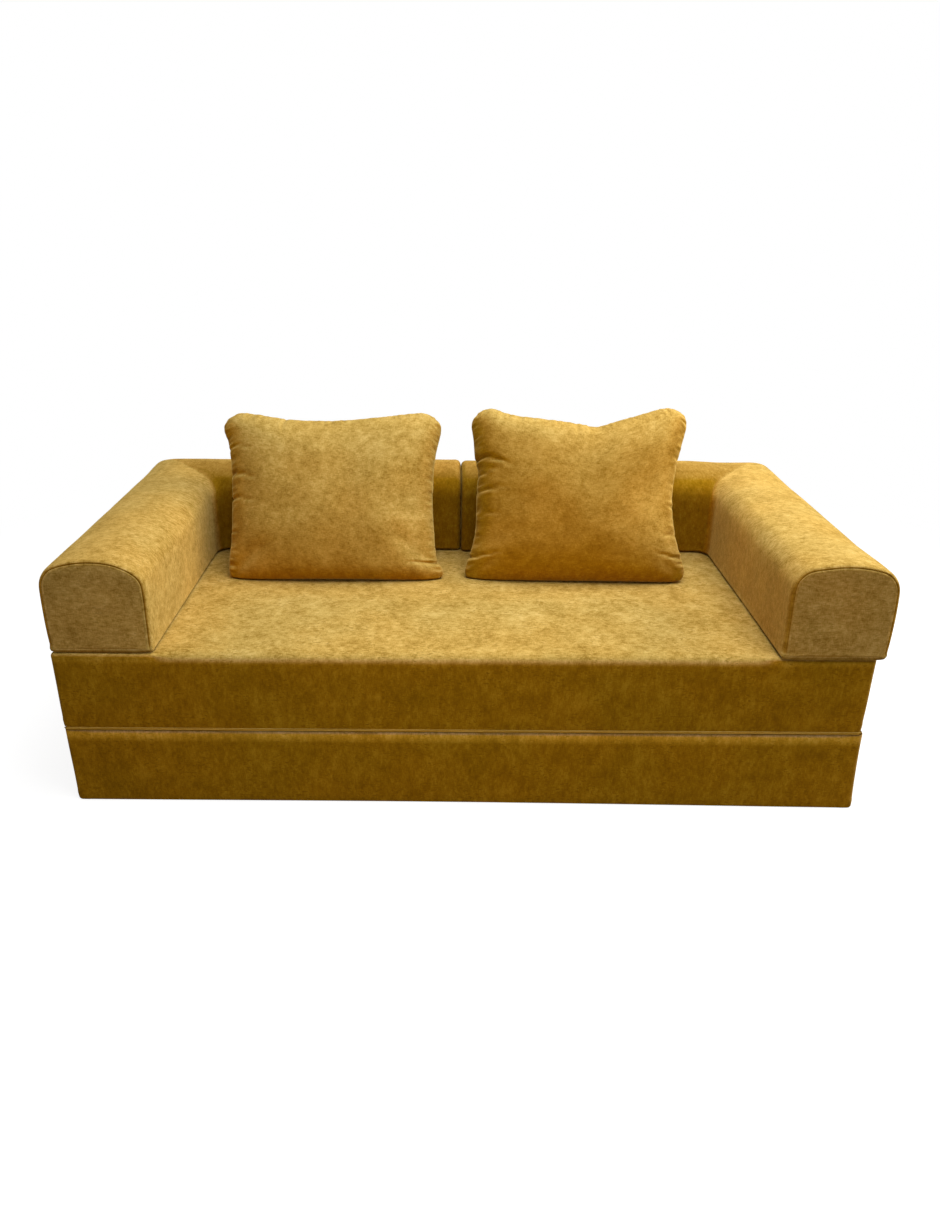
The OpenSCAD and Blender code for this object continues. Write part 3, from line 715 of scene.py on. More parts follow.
def bolster_form(low, high, side, seed, inner):
    """Mesh of an L-shaped bolster: its cover, or a layer that lies so far inside. Side is 1 for
    the left one and -1 for its mirror image."""
    arm_l, back_l = high.y - low.y, high.x - low.x
    outer = low.x if side > 0 else high.x
    stations = bolster_stations(arm_l, back_l, inner)
    sections = [section(inset) for inset, rule in stations]
    columns, rows = len(sections[0]), len(stations) - 1
    reach = [0.0]
    flat = sections[len(stations) // 2]
    for k in range(columns):
        one, two = flat[k], flat[(k + 1) % columns]
        reach.append(reach[-1] + hypot(two[0] - one[0], two[1] - one[1]))

    def spot(j, i):
        across, up = sections[j][i % columns]
        x, y = stations[j][1](across)
        return Vector((outer + side * x, high.y + y, low.z + up))

    turn = len(stations) - 1 - TAIL_STEPS - round(back_l / STATION_STEP) - TURN_STEPS // 2
    bm = bmesh.new()
    nap, stitch, worn = point_layers(bm, "nap", "stitch", "worn")
    cloth = bm.loops.layers.uv.new("cloth")
    places = {}
    for vert, i, j in numbered_grid(bm, columns, rows):
        places[vert] = (i, j)
        vert.co = spot(j, i)
        foot = smooth_step(0.020, 0.012, vert.co.z - low.z)
        # The end's rings painted lighter, with the dark seam line; the back painted darker, with painted shade in
        # the tail's gap
        if j < len(EDGE_PAINTED_LIGHTS) and inner == 0:
            vert[nap] = EDGE_PAINTED_LIGHTS[j] + (END_PAINTED_LIGHT - EDGE_PAINTED_LIGHTS[j]) * foot
            vert[stitch] = SEAM_DARK * (1 - foot) * (j == SEAM_RING)
            vert.co.y += foot * (FOOT_EDGE[j] - END_EDGE[j][1])
        else:
            vert[nap] = BACK_PAINTED_LIGHT * smooth_step(turn - 3, turn + 3, j)
            vert[stitch] = TAIL_PAINTED_SHADE * smooth_step(rows - 3, rows, j)
            sunk = vert.co.z - low.z - stations[j][0]
            vert.co.z -= 0.75 * (stations[j][0] - inner) * smooth_step(0.05, 0.0, sunk)
        # A painted highlight along the lip at the foot; the left end painted lighter, the right darker
        vert[nap] += 0.10 * bell(vert.co.z - low.z, LIP_Z, 0.005) + END_PAINTED_LIGHT_SHIFT * side * (j < 4)
        vert[worn] = END_HIGHLIGHT * (j < 4)
    for face in bm.faces:
        on_arm = max(places[v][1] for v in face.verts) <= turn
        for loop in face.loops:
            i, j = places[loop.vert]
            along = loop.vert.co.y if on_arm else side * loop.vert.co.x + 3.0
            loop[cloth].uv = (reach[i] + seed, along)

    steps_up = FOOT_STEPS + len(side_heights()) + SHOULDER_STEPS
    steps_over = CROWN_STEPS + 2 * (SHOULDER_STEPS - 1)

    def end_puff(s, t):
        hump = (4 * s * (1 - s) * 4 * t * (1 - t)) ** 0.5 * (inner == 0)
        crease = bell(t, 0.55, 0.05) * smooth_step(0.3, 0.6, s) * hump
        return Vector((0.0, -0.0024 * hump + 0.0011 * crease, 0.0))

    def tail_puff(s, t):
        return Vector((0.0012 * (1 - (2 * s - 1) ** 4) * (1 - (2 * t - 1) ** 4), 0.0, 0.0))

    def lay_cap(verts, shift):
        for face in {f for v in verts for f in v.link_faces}:
            for loop in face.loops:
                place = loop.vert.co
                loop[cloth].uv = (place.x + place.y + shift, place.z)

    cap = cover_cap(bm, [spot(0, i) for i in range(columns)], steps_up, steps_over, end_puff)
    lay_cap(cap, 7.0 + seed)
    # The end panel painted lighter, with a painted highlight
    for vert in cap:
        vert[nap] = END_PAINTED_LIGHT + END_PAINTED_LIGHT_SHIFT * side
        vert[worn] = END_HIGHLIGHT
    cap = cover_cap(bm, [spot(rows, i) for i in range(columns)], steps_up, steps_over, tail_puff)
    lay_cap(cap, 15.0 + seed)
    bmesh.ops.remove_doubles(bm, verts=bm.verts, dist=2e-5)
    bmesh.ops.recalc_face_normals(bm, faces=bm.faces)
    bm.normal_update()
    return bm


def settle(bm, low, high, side, form):
    """Shapes a bolster's layer as the soft one lies: its arm bellies out past the slab, the
    arm's inner shoulder sags, its end's foot lies over the seat's edge and the top of the back
    stands up."""
    outer = low.x if side > 0 else high.x
    for vert in bm.verts:
        x, y, z = vert.co
        across, behind, up = side * (x - outer), high.y - y, (z - low.z) / BOLSTER_H
        on_arm = 1 - smooth_step(high.y - 0.45, high.y - BOLSTER_W, y)
        near_end = 1 - smooth_step(low.y + 0.03, low.y + 0.18, y)
        out = form["out"] + (form["end_out"] - form["out"]) * near_end
        belly = max(sin(pi * min(max((up - 0.08) / 0.78, 0.0), 1.0)), 0.0)
        share = max(1 - across / BOLSTER_W, 0.0)
        vert.co.x -= side * (out * share + SIDE_BELLY * belly * max(1 - across / 0.05, 0.0))
        sag = form["sag"] * on_arm * smooth_step(0.4, 0.7, up)
        vert.co.z -= sag * bell(across, 0.206, 0.030)
        rise = bell(behind, 0.060, 0.065) * smooth_step(0.5, 0.9, up)
        rise *= 1 - 0.5 * smooth_step(0.68, 0.80, x)
        vert.co.z += BACK_RISE * rise * smooth_step(0.0, 0.05, across)
        vert.co.z -= pressed(x, y) * max(1 - up / 0.5, 0.0)
        vert.co.y -= (form["toe"] * smooth_step(low.y + 0.08, low.y, y)
                      * max(1 - up / 0.8, 0.0) ** 1.5)
        vert.co.x += side * form["tuck"] * bell(z, low.z, 0.014) * max(1 - across / 0.03, 0.0)


def bolster_piece(body, side, seed, form):
    """A bolster in its cover, with its wadding inside."""
    low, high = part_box(body + "_cover")
    inner = bolster_form(low, high, side, seed, WADDING_IN)
    settle(inner, low, high, side, form)
    wrap = finished(inner, body + "_wrap", WADDING, body, "wadding", body + "_wadding")
    bm = bolster_form(low, high, side, seed, 0.0)
    settle(bm, low, high, side, form)
    bm.normal_update()
    tail = high.x if side > 0 else low.x
    zip_z = sum(corner.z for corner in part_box(body + "_zip")) / 2
    for vert in bm.verts:
        x, y, z = vert.co
        up = (z - low.z) / BOLSTER_H
        free = smooth_step(0.0, 0.06, up) * smooth_step(0.002, 0.03, abs(x - tail))
        if y > high.y - 0.010:
            free *= smooth_step(0.012, 0.030, abs(z - zip_z))
        slack = drift(6 * x + seed, 6 * y, 7 * z)
        ripple = drift(22 * x, 22 * y + seed, 26 * z)
        push = free * (0.0014 * slack + 0.0005 * ripple)
        if abs(vert.normal.z) < 0.5:
            push += smooth_step(0.003, 0.012, abs(x - tail)) * 0.0010 * bell(z - low.z, LIP_Z, 0.005)
        vert.co += vert.normal * push
        vert.co.z = max(vert.co.z, low.z + LET_IN - pressed(x, y))
    piece = finished(bm, body, BOLSTER_CLOTH, body, "chenille", body + "_cover")
    soften = piece.modifiers.new("soften", "SUBSURF")
    soften.levels = soften.render_levels = 1
    return piece


bolster_piece("left_bolster", 1, 2.0, {
    "out": 0.0100, "end_out": 0.0110, "sag": 0.0065, "toe": 0.008, "tuck": 0.003,
})
bolster_piece("right_bolster", -1, 6.0, {
    "out": 0.0, "end_out": 0.0085, "sag": -0.0045, "toe": 0.010, "tuck": 0.006,
})

slab_piece("base_slab", BASE_LOW, BASE_HIGH, "base", crown=0.0, seed=3.0,
           reach=(0.0110, 0.0060), toes=(0.009, 0.009, 0.020), tuck=(0.006, 0.0), lip=0.012,
           lip_end=0.90, lip_light=0.10, edge_highlight=0.9)
slab_piece("seat_slab", SEAT_LOW, SEAT_HIGH, "seat", crown=SEAT_CROWN, seed=8.0,
           reach=(0.0115, 0.0), toes=(0.0, 0.0, 0.0), tuck=(0.0, 0.0), lip=0.026,
           lip_end=0.685, lip_light=0.48, edge_highlight=0.3)


# Pillows. A place on one is (x from its middle, up the pillow, out towards the front)
PILLOW_FRONT = 0.082
PILLOW_BACK = 0.104
PILLOW_LEAN = radians(26)
PILLOW_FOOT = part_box("left_pillow_cover")[0].z
PILLOW_CELLS = (90, 70)
# The cloth of a pillow as it was cut, before it was filled
CUT_SLACK = 1.012
CUT_SWELL = 0.92
# How far the rounded tip of a corner stops short of a square one
PILLOW_TIP = 0.020
FILLING = {
    "quality": 5, "mass": 0.25, "tension_stiffness": 18, "compression_stiffness": 12,
    "shear_stiffness": 6, "bending_stiffness": 1.2, "vertex_group_mass": "seam",
    "use_pressure": True, "uniform_pressure_force": 4.0,
}
FILL_FRAMES = 20
FILL_REACH = 0.024
ZIP_PROUD = 0.0006
# How high the cloth puckers beside the seam, and how much darker the pile is painted there
GATHER = 0.0050
RIM_PAINTED_LIGHT = -0.24
# How far the cover and the insert keep off the bolster, how far the insert lies inside its cover,
# and how far it keeps above the seat
COVER_GAP, INSERT_GAP = 0.0012, 0.0042
INSERT_IN = 0.0045
INSERT_RISE = 0.0035
BOLSTER_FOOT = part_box("left_bolster_cover")[0].z


def pillow_seam(form, u, v):
    """Where the cloth lies between the four edges, at u across and v up, each from -1 to 1."""
    tip = PILLOW_TIP * abs(v) ** 16
    if v < 0:
        tip *= 0.45
    left = through(form["left"], v) + tip
    right = through(form["right"], v) - tip
    tip = PILLOW_TIP * abs(u) ** 16
    high = through(form["top"], u) - tip
    low = form["bottom_draw"] * (1 - u * u) + 0.45 * tip - 0.008
    return left + (right - left) * (u + 1) / 2, low + (high - low) * (v + 1) / 2


def pillow_swell(u, v):
    """Share of a pillow's full depth there: 1 in its middle and 0 along its seam."""
    return (max(1 - abs(u) ** 3.4, 0.0) * max(1 - abs(v) ** 3.2, 0.0)) ** 0.47


def pillow_place(form, x, up, out):
    """From a pillow's own places to the frame's: it leans back with its foot on the seat, and
    the foot has slid forward a little."""
    rise = up * cos(PILLOW_LEAN) + out * sin(PILLOW_LEAN)
    back = up * sin(PILLOW_LEAN) - out * cos(PILLOW_LEAN)
    slide = form["slide"] * bell(max(rise, 0.0), 0.0, 0.06)
    return Vector((x, form["seam_y"] + back - slide, PILLOW_FOOT + rise))


def evened(mesh, moves, held, rounds):
    """Spreads moves over neighbouring points, as filling does with sharp folds."""
    near = [[] for vert in mesh.vertices]
    for edge in mesh.edges:
        one, two = edge.vertices
        near[one].append(two)
        near[two].append(one)
    for turn in range(rounds):
        moves = [(move + sum((moves[k] for k in ring), Vector())) / (len(ring) + 1)
                 for move, ring in zip(moves, near)]
        for k in held:
            moves[k] = Vector()
    return moves


def fill_pillow(piece, start, cut, seam):
    """Fills the sewn cloth with pressure: the seam holds, and the cut cloth finds its folds."""
    mesh = piece.data
    piece.shape_key_add(name="sewn")
    flat = piece.shape_key_add(name="cut")
    for k, place in enumerate(cut):
        flat.data[k].co = place
    group = piece.vertex_groups.new(name="seam")
    group.add(seam, 1.0, "REPLACE")
    cloth = piece.modifiers.new("fill", "CLOTH")
    rules = cloth.settings
    for key, value in FILLING.items():
        setattr(rules, key, value)
    rules.rest_shape_key = flat
    rules.effector_weights.gravity = 0.0
    cloth.collision_settings.use_collision = False
    cloth.point_cache.frame_start = 1
    cloth.point_cache.frame_end = FILL_FRAMES
    scene = bpy.context.scene
    for frame_number in range(1, FILL_FRAMES + 1):
        scene.frame_set(frame_number)
    filled = piece.evaluated_get(bpy.context.evaluated_depsgraph_get())
    ends = [vert.co.copy() for vert in filled.to_mesh().vertices]
    filled.to_mesh_clear()
    piece.modifiers.remove(cloth)
    piece.shape_key_clear()
    piece.vertex_groups.clear()
    moves = [ended - began for began, ended in zip(start, ends)]
    moves = [move * min(1.0, FILL_REACH / max(move.length, 1e-9)) for move in moves]
    for vert, began, move in zip(mesh.vertices, start, evened(mesh, moves, seam, 12)):
        vert.co = began + move
    scene.frame_set(1)


def keep_clear(place, rear_y, gap):
    """Holds a point above the seat and off the bolster that the pillow leans on."""
    shoulder = Vector((0.0, rear_y - BOLSTER_W + SHOULDER_R, BOLSTER_FOOT + SHOULDER_Z))
    if place.z < shoulder.z:
        place.y = min(place.y, rear_y - BOLSTER_W - gap)
    else:
        off = Vector((0.0, place.y - shoulder.y, place.z - shoulder.z))
        if off.length < SHOULDER_R + gap:
            off *= (SHOULDER_R + gap) / off.length
            place.y, place.z = shoulder.y + off.y, shoulder.z + off.z
    place.z = max(place.z, PILLOW_FOOT + ZIP_PROUD)


def pillow_piece(name, bolster, form, seed):
    """A filled pillow: two cut panels sewn round the edge, filled, then set on the seat with its
    back on a bolster."""
    rear_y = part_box(bolster + "_cover")[1].y
    across, upward = PILLOW_CELLS
    bm = bmesh.new()
    cloth = bm.loops.layers.uv.new("cloth")
    own = bm.verts.layers.float_vector.new("own")
    nap = bm.verts.layers.float.new("nap")
    sides = {}
    for side in (1, -1):
        made = bmesh.ops.create_grid(bm, x_segments=across, y_segments=upward, size=1.0)
        for vert in made["verts"]:
            u = 0.35 * vert.co.x + 0.65 * sin(vert.co.x * pi / 2)
            v = 0.35 * vert.co.y + 0.65 * sin(vert.co.y * pi / 2)
            vert[own] = (u, v, side if max(abs(u), abs(v)) < 0.9999 else 0.0)
            # The pillow's painted light, darker along its rim
            rim = max(smooth_step(0.80, 0.98, abs(u)), smooth_step(0.84, 0.99, v))
            vert[nap] = form["nap"] + RIM_PAINTED_LIGHT * rim
            sides[vert] = (u, v, side)
    for face in bm.faces:
        shift = seed + (2.0 if any(sides[v][2] < 0 for v in face.verts) else 0.0)
        for loop in face.loops:
            u, v, side = sides[loop.vert]
            loop[cloth].uv = (0.31 * u + shift, 0.24 * v)
    for vert, (u, v, side) in sides.items():
        x, up = pillow_seam(form, u, v)
        out = side * (PILLOW_FRONT if side > 0 else PILLOW_BACK) * pillow_swell(u, v) * 0.93
        foot = ((1 - v) / 2) ** 3
        out += foot * (form["foot_bow"] * (1 - u * u) + form["foot_turn"] * u + form["foot_out"])
        vert.co = (x, -out, up)
    bmesh.ops.reverse_faces(bm, faces=[f for f in bm.faces if any(sides[v][2] < 0 for v in f.verts)])
    bmesh.ops.remove_doubles(bm, verts=bm.verts, dist=1e-6)
    bm.verts.ensure_lookup_table()
    start = [vert.co.copy() for vert in bm.verts]
    cut = [(CUT_SLACK * p.x, CUT_SWELL * p.y, CUT_SLACK * p.z) for p in start]
    seam = [k for k, vert in enumerate(bm.verts) if vert[own].z == 0.0]
    piece = finished(bm, name, PILLOW_CLOTH, name, "chenille", name + "_cover")
    fill_pillow(piece, start, cut, seam)

    bm = bmesh.new()
    bm.from_mesh(piece.data)
    bm.normal_update()
    own = bm.verts.layers.float_vector["own"]
    for vert in bm.verts:
        u, v, side = vert[own]
        push = 0.0035 * drift(3.1 * u + seed, 2.7 * v, 1.3 * side) * pillow_swell(u, v)
        for (cu, cv), (du, dv), width, depth in form["creases"]:
            along = (u - cu) * du + (v - cv) * dv
            off = -(u - cu) * dv + (v - cv) * du
            if side >= 0 and 0 <= along <= 1:
                fade = (1 - along) ** 1.3
                push -= depth * fade * bell(off, 0.0, width)
                push += 0.22 * depth * fade * bell(off, -1.9 * width, width)
        to_side, to_end = 0.30 * (1 - abs(u)), 0.24 * (1 - abs(v))
        by_side = to_side < to_end
        near, run = (to_side, 0.24 * v) if by_side else (to_end, 0.30 * u)
        gather = drift(95 * run, 4.3 * side + 9 * u * by_side, seed)
        gather *= 1.0 if by_side or v > 0 else 0.3
        push += GATHER * gather * bell(near, 0.0, 0.018) * smooth_step(0.0, 0.004, near)
        vert.co += vert.normal * push
    for vert in bm.verts:
        vert.co = pillow_place(form, vert.co.x, vert.co.z, -vert.co.y)
    insert = bm.copy()
    smooth_out(bm)
    for vert in bm.verts:
        keep_clear(vert.co, rear_y, COVER_GAP)
    bm.verts.layers.float_vector.remove(bm.verts.layers.float_vector["own"])
    bm.to_mesh(piece.data)
    bm.free()
    piece.data.shade_smooth()

    insert.normal_update()
    for vert in insert.verts:
        vert.co -= vert.normal * INSERT_IN
        keep_clear(vert.co, rear_y, INSERT_GAP)
        vert.co.z = max(vert.co.z, PILLOW_FOOT + INSERT_RISE)
    insert.verts.layers.float_vector.remove(insert.verts.layers.float_vector["own"])
    inner = finished(insert, name + "_insert", TICKING, name, "pillow_fibre", name + "_insert")


# Lines of the seams round each pillow, as photographed: the sides as (place up, x), the top as
# (place across, height up the pillow), and creases as (start, run), half width and depth
# Each pillow's painted light makes its pile painted lighter or darker: the right one darker
LEFT_FORM = {
    "seam_y": 0.0190, "bottom_draw": 0.004, "foot_bow": 0.016, "foot_turn": 0.0, "foot_out": 0.002,
    "nap": 0.09, "slide": 0.014,
    "left": [(-1.0, -0.643), (-0.85, -0.643), (-0.45, -0.638), (-0.05, -0.638),
             (0.25, -0.639), (0.50, -0.644), (0.70, -0.652), (0.88, -0.667), (1.0, -0.669)],
    "right": [(-1.0, -0.046), (-0.91, -0.046), (-0.77, -0.066), (-0.45, -0.074),
              (-0.05, -0.079), (0.30, -0.076), (0.55, -0.070), (0.88, -0.053), (1.0, -0.052)],
    "top": [(-1.0, 0.460), (-0.87, 0.459), (-0.50, 0.441), (-0.20, 0.434), (0.10, 0.435),
            (0.43, 0.444), (0.85, 0.458), (1.0, 0.460)],
    "creases": [
        ((-1.0, 0.27), (2.6, -0.85), 0.06, 0.007), ((-1.0, -0.03), (3.0, -0.65), 0.06, 0.006),
        ((1.0, -0.82), (-3.0, 0.10), 0.035, 0.009), ((-1.0, 0.60), (2.8, -0.6), 0.05, 0.003),
        ((-0.45, 1.0), (0.2, -3.2), 0.040, 0.003),
    ],
}
RIGHT_FORM = {
    "seam_y": 0.0070, "bottom_draw": 0.004, "foot_bow": 0.006, "foot_turn": 0.017,
    "foot_out": 0.004, "nap": -0.13, "slide": 0.008,
    "left": [(-1.0, 0.010), (-0.88, 0.011), (-0.62, 0.031), (-0.40, 0.041), (0.0, 0.043),
             (0.33, 0.047), (0.45, 0.039), (0.70, 0.034), (0.88, 0.027), (1.0, 0.025)],
    "right": [(-1.0, 0.609), (-0.88, 0.610), (-0.60, 0.593), (-0.30, 0.583), (0.0, 0.582),
              (0.30, 0.592), (0.60, 0.609), (0.86, 0.626), (1.0, 0.629)],
    "top": [(-1.0, 0.475), (-0.86, 0.474), (-0.66, 0.455), (-0.36, 0.444), (-0.02, 0.431),
            (0.17, 0.421), (0.38, 0.438), (0.57, 0.453), (0.84, 0.475), (1.0, 0.479)],
    "creases": [
        ((-1.0, 0.43), (2.5, -0.55), 0.065, 0.013), ((-1.0, 0.22), (3.8, 1.3), 0.06, 0.007),
        ((-1.0, 0.02), (2.9, 0.6), 0.065, 0.008), ((-1.0, -0.20), (3.4, -0.7), 0.07, 0.005),
        ((1.0, -0.76), (-3.0, 0.8), 0.060, 0.009), ((1.0, -0.50), (-3.5, 0.6), 0.060, 0.004),
        ((-1.0, -0.74), (3.0, 0.7), 0.055, 0.008), ((-0.05, 1.0), (0.3, -3.4), 0.06, 0.005),
    ],
}
pillow_piece("left_pillow", "left_bolster", LEFT_FORM, 21.0)
pillow_piece("right_pillow", "right_bolster", RIGHT_FORM, 27.0)


# Small sewn and metal parts
def sweep(bm, count, rows, spot):
    """A closed tube: count points round it at each of its rows, where spot(row, point) says."""
    made = numbered_grid(bm, count, rows)
    for vert, i, j in made:
        vert.co = spot(j, i % count)
    rims = [vert for vert, i, j in made if j in (0, rows)]
    bmesh.ops.remove_doubles(bm, verts=[vert for vert, i, j in made], dist=1e-6)
    edges = {e for v in rims if v.is_valid for e in v.link_edges if e.is_boundary}
    bmesh.ops.holes_fill(bm, edges=list(edges), sides=count)


def ring_of(radius, count):
    """Points round a circle."""
    return [(radius * cos(tau * k / count), radius * sin(tau * k / count)) for k in range(count)]


def block(bm, one, two, radius, segments=2):
    """A box between any two opposite corners with its edges rounded."""
    verts = bmesh.ops.create_cube(bm, size=1.0)["verts"]
    low, high = (Vector([pick(pair) for pair in zip(one, two)]) for pick in (min, max))
    bmesh.ops.scale(bm, vec=high - low, verts=verts)
    bmesh.ops.translate(bm, vec=(low + high) / 2, verts=verts)
    round_edges(bm, list({edge for vert in verts for edge in vert.link_edges}), radius, segments)


PIPING_R = 0.0016
FLANGE_BACK = 0.024
# How far the piping reaches past the base's solid on the left, and stops short of it on the right
PIPING_PAST, PIPING_SHORT = 0.0075, 0.0030


def hinge_piece():
    """The seam that joins the slabs: a piping on the hinge axis, sewn to the seat's lower edge,
    with a flange that runs back on the base."""
    low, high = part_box("hinge_strip")
    low.x, high.x = BASE_LOW.x - PIPING_PAST, BASE_HIGH.x - PIPING_SHORT
    runs = round((high.x - low.x) / 0.006)
    bm = bmesh.new()

    def wave(x):
        short = max(SLAB_CORNER_R - min(x - low.x, high.x - x) - 0.0035, 0.0)
        return (0.0006 * drift(9 * x, 0.0, 4.0)
                + SLAB_CORNER_R - sqrt(SLAB_CORNER_R ** 2 - short ** 2),
                0.0012 * drift(5 * x, 0.0, 9.0))

    def along(j):
        return low.x + (high.x - low.x) * j / runs

    round_places = ring_of(1.0, 12)

    def piping(j, i):
        x = along(j)
        thick = PIPING_R * (0.55 if j in (0, runs) else 1.0 + 0.10 * drift(80 * x, 0, 0))
        y, z = round_places[i]
        dy, dz = wave(x)
        return Vector((x, HINGE_Y + dy + thick * y, HINGE_Z + 0.0006 + dz + thick * z))

    neck_places = ((-0.0006, 0.0008), (0.0022, 0.0050), (0.0032, 0.0046), (0.0008, 0.0004))
    flange_places = ((0.0010, -0.0001), (0.0010, 0.0003), (0.0090, 0.0003), (FLANGE_BACK, 0.0002),
                     (FLANGE_BACK, -0.0002), (0.0090, -0.0004))

    def strip(places):
        def spot(j, i):
            x = along(j)
            dy, dz = wave(x)
            y, z = places[i]
            near = 1 - smooth_step(0.002, 0.006, abs(y) + abs(z))
            return Vector((x, HINGE_Y + y + near * dy, HINGE_Z + z + near * dz))
        return spot

    sweep(bm, len(round_places), runs, piping)
    sweep(bm, len(neck_places), runs, strip(neck_places))
    sweep(bm, len(flange_places), runs, strip(flange_places))
    bmesh.ops.recalc_face_normals(bm, faces=bm.faces)
    lay_cloth(bm, lambda place, normal: (place.x + 31.0, 3.0 * (place.y + place.z)))
    piece = finished(bm, "hinge_piping", TRIM_CLOTH, None, "chenille", "hinge_strip")
    HINGE_Z + 0.0013
    HINGE_Y + 0.005
    HINGE_Z - 0.0037
    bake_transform(piece)


# A zip's tapes lie either side of its middle, from the gap to their outer edge, and the cover's
# hems reach past its ends
TAPE_GAP, TAPE_HALF = 0.0009, 0.0062
COIL_HALF = 0.0024
TOOTH_PITCH = 0.0016
HEM_R = 0.0013
HEM_PAST = 0.004
# A slider's bridge is bent from a thin rod, as wide as the ring of its pull, which is drawn long
BRIDGE_R = 0.0006
RING_R = 0.0026
PULL_HALF = 0.0104
# How far behind the cover the bridge and the ring lie, how far down the ring hangs, how wide a
# slider is to either side and how much narrower at its end
BRIDGE_OUT, RING_OUT = 0.0022, 0.0040
RING_DROP = 0.0105
SLIDER_HALF = 0.0040
SLIDER_TAPER = 0.16


def zip_pieces(node, body, cover):
    """A zip in a cover's back: two tapes, the coil's teeth and the cover's hems."""
    low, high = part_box(node)
    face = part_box(cover)[1].y
    middle = (low.z + high.z) / 2
    bm = bmesh.new()
    for side in (-1, 1):
        block(bm, (low.x, face - 0.0010, middle + side * TAPE_GAP),
              (high.x, face + 0.0005, middle + side * TAPE_HALF), 0.0003)
    finished(bm, node, ZIP_TAPE, body, "zip_tape", node)

    bm = bmesh.new()
    block(bm, (low.x, face - 0.0002, middle - COIL_HALF),
          (low.x + 0.0010, face + 0.0013, middle + COIL_HALF), 0.0003, 1)
    teeth = finished(bm, node + "_coil", ZIP_COIL, body, "zip_tape")
    row = teeth.modifiers.new("row", "ARRAY")
    row.use_relative_offset = False
    row.use_constant_offset = True
    row.constant_offset_displace = (TOOTH_PITCH, 0.0, 0.0)
    row.count = int((high.x - low.x) / TOOTH_PITCH)

    bm = bmesh.new()
    runs = round((high.x - low.x) / 0.010)
    places = ring_of(HEM_R, 8)
    for side in (-1, 1):
        def hem(j, i, side=side):
            x = low.x - HEM_PAST + (high.x - low.x + 2 * HEM_PAST) * j / runs
            thin = 0.4 if j in (0, runs) else 1.0
            wave = 0.0003 * drift(30 * x, side, 2.0)
            return Vector((x, face + thin * places[i][0] - 0.0001,
                           middle + side * (TAPE_HALF + 0.0008) + thin * 1.5 * places[i][1] + wave))
        sweep(bm, len(places), runs, hem)
    bmesh.ops.recalc_face_normals(bm, faces=bm.faces)
    lay_cloth(bm, lambda place, normal: (place.x + 37.0, place.z + place.y))
    finished(bm, node + "_hems", TRIM_CLOTH, body, "chenille")


def slider_piece(node, body, cover):
    """A zip's slider: a tapered plate over the coil with side flanges, a bridge and a ring pull."""
    low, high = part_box(node)
    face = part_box(cover)[1].y
    centre = (low.x + high.x) / 2
    middle = high.z - SLIDER_HALF
    bm = bmesh.new()
    block(bm, (low.x, face + 0.0016, middle - SLIDER_HALF),
          (high.x, face + 0.0026, middle + SLIDER_HALF), 0.0004)
    for side in (-1, 1):
        block(bm, (low.x, face + 0.0006, middle + side * 0.0031),
              (high.x, face + 0.0024, middle + side * SLIDER_HALF), 0.0003)
    for vert in bm.verts:
        past = (vert.co.x - centre) / (high.x - centre)
        taper = 1 - SLIDER_TAPER * smooth_step(0.1, 1.0, past)
        vert.co.z = middle + (vert.co.z - middle) * taper
    bridge = bmesh.ops.create_circle(bm, cap_ends=False, segments=10, radius=BRIDGE_R)["verts"]
    foot = Vector((centre, face + BRIDGE_OUT, middle))
    for vert in bridge:
        vert.co = foot + Vector((vert.co.x + RING_R, 0.0, vert.co.y))
    loop = list({edge for vert in bridge for edge in vert.link_edges})
    bmesh.ops.spin(bm, geom=loop + bridge, cent=foot, axis=(0, 0, 1), dvec=(0, 0, 0), angle=pi,
                   steps=14, use_merge=False, use_duplicate=False)
    ring = bmesh.ops.create_circle(bm, cap_ends=True, segments=28, radius=RING_R)["verts"]
    for vert in ring:
        x, y, z = vert.co
        up = 1.2 * y + (PULL_HALF if y > 0 else -PULL_HALF) - RING_DROP
        vert.co = Vector((centre + x, face + RING_OUT, middle + up))
    plate = list({f for vert in ring for f in vert.link_faces})
    bmesh.ops.inset_region(bm, faces=plate, thickness=0.0011, use_even_offset=True)
    bmesh.ops.delete(bm, geom=plate, context="FACES_ONLY")
    rim = [f for f in bm.faces if all(abs(v.co.y - face - RING_OUT) < 1e-6 for v in f.verts)]
    bmesh.ops.solidify(bm, geom=rim, thickness=0.0010)
    bmesh.ops.recalc_face_normals(bm, faces=bm.faces)
    finished(bm, node, BRASS, body, "zip_metal", node)


def folded_foam():
    """The base's foam: a block with rounded edges in place of the solid one, riding on the base."""
    low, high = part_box("base_foam")
    bm = bmesh.new()
    block(bm, low, high, 0.006, 3)
    piece = finished(bm, "base_block", FOAM, "base", "foam", "base_foam")
    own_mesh(piece)


folded_foam()
hinge_piece()
for holder in ("base", "seat", "left_bolster", "right_bolster"):
    zip_pieces(holder + "_zip", holder, holder + "_cover")
    slider_piece(holder + "_zip_slider", holder + "_slider", holder + "_cover")

# The finish of each slot, for the CAD nodes that stay
KEPT = {
    "foam": FOAM, "wadding": WADDING, "pillow_fibre": TICKING, "underside": UNDERSIDE,
    "hook_and_loop": HOOK_LOOP, "zip_tape": ZIP_TAPE, "zip_metal": BRASS,
    "chenille": TRIM_CLOTH,
}
for part in frame["record"]["subparts"]:
    node = frame["nodes"][part["node"]]
    node.data.materials.clear()
    node.data.materials.append(KEPT[part["material_slot"]])


# Floor, light and camera
ROOM_FILL = 0.355
FLOOR_GREY = rgb(0.30, 0.30, 0.30)
FLOOR_GLOW = 0.86
FLOOR_FADE = (1.5, 2.6)
WHITE = rgb(1, 1, 1)


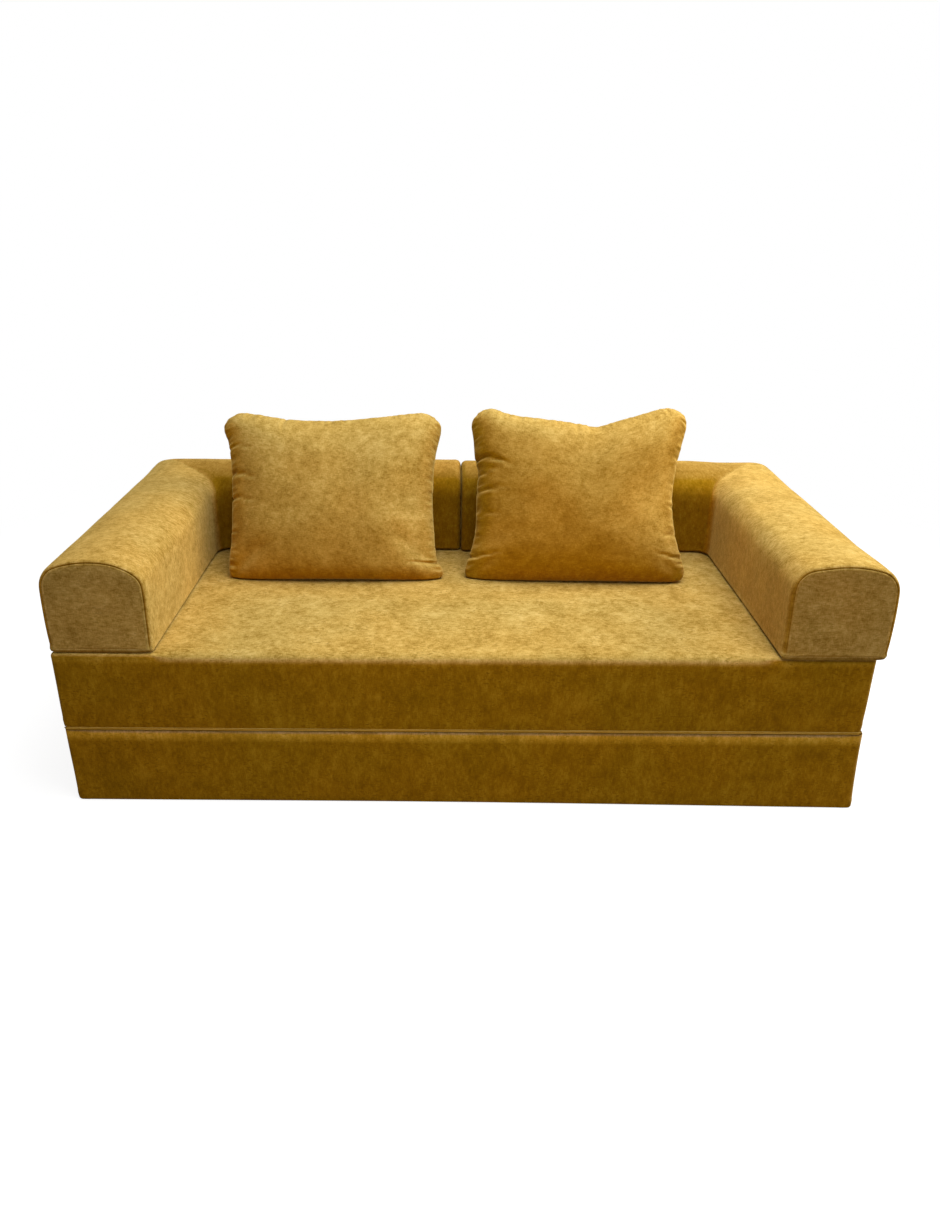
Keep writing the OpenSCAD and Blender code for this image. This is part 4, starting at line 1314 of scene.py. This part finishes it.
def shown_as(finish, shader, lights):
    """The shader where the camera or a mirror sees it, and the other where it lights things."""
    seen, mirrored = finish.add("LightPath", out=0), finish.add("LightPath", out=3)
    factor = seen.math("MAXIMUM", seen, mirrored)
    return finish.add("MixShader", {}, {0: factor, 1: lights, 2: shader})


def stage_floor():
    """A pale floor that takes the object's shadow and turns white away from it."""
    finish = Finish(bpy.data.materials.new("pale_floor"))
    off = finish.add("VectorMath", {"operation": "LENGTH"}, {0: finish.own_place()}, out=1)
    plain = finish.add("BsdfDiffuse", {}, {"Color": FLOOR_GREY})
    glow = finish.add("Emission", {}, {"Color": WHITE, "Strength": FLOOR_GLOW})
    white = finish.add("Emission", {}, {"Color": WHITE, "Strength": 1.0})
    near = finish.add("AddShader", {}, {0: plain, 1: glow})
    both = finish.add("MixShader", {}, {0: finish.span(off, *FLOOR_FADE), 1: near, 2: white})
    finish.add("OutputMaterial", {}, {"Surface": shown_as(finish, both, plain)})
    bm = bmesh.new()
    bmesh.ops.create_grid(bm, x_segments=2, y_segments=2, size=12.0)
    floor = shaped(bm, "floor", finish.holder)


def softbox(name, place, aim, size, power, spread=180):
    """A rectangular lamp that faces its aim, whose light spreads by so many degrees."""
    lamp = bpy.data.lights.new(name, "AREA")
    lamp.spread = radians(spread)
    lamp.shape = "RECTANGLE"
    lamp.size, lamp.size_y = size
    lamp.energy = power
    holder = placed(name, lamp)
    holder.location = place
    holder.rotation_euler = (Vector(aim) - Vector(place)).to_track_quat("-Z", "Y").to_euler()


def room_light():
    """A grey room that only fills the shadows, and looks white."""
    room = Finish(bpy.data.worlds.new("studio"))
    fill = room.add("Background", {}, {"Strength": ROOM_FILL})
    white = room.add("Background", {}, {"Color": WHITE})
    room.add("OutputWorld", {}, {"Surface": shown_as(room, white, fill)})
    bpy.context.scene.world = room.holder


def set_camera():
    """The camera that took the photograph, as fitted to its lines."""
    lens = bpy.data.cameras.new("camera")
    lens.sensor_width = SENSOR
    lens.lens = FOCAL_PIXELS / PHOTO_LONG_SIDE * SENSOR
    lens.shift_x, lens.shift_y = CAMERA_SHIFT
    lens.clip_end = 60.0
    holder = placed("camera", lens)
    turn = (Matrix.Rotation(-CAMERA_YAW, 4, "Z") @ Matrix.Rotation(pi / 2 - CAMERA_PITCH, 4, "X")
            @ Matrix.Rotation(CAMERA_ROLL, 4, "Z"))
    holder.matrix_world = Matrix.Translation(CAMERA_PLACE) @ turn
    bpy.context.scene.camera = holder


stage_floor()
softbox("overhead", (0.7, -0.2, 3.1), aim=(0.0, 0.0, 0.4), size=(3.2, 2.6), power=102.0)
softbox("side", (2.6, 0.35, 1.5), aim=(-0.7, 0.0, 0.5), size=(1.2, 1.2), power=47.0)
softbox("front", (-0.12, -2.62, 0.9), aim=(-0.06, -0.45, 0.36), size=(0.5, 0.4), power=0.42,
        spread=56)
room_light()
set_camera()
bpy.context.scene.view_settings.view_transform = "Standard"
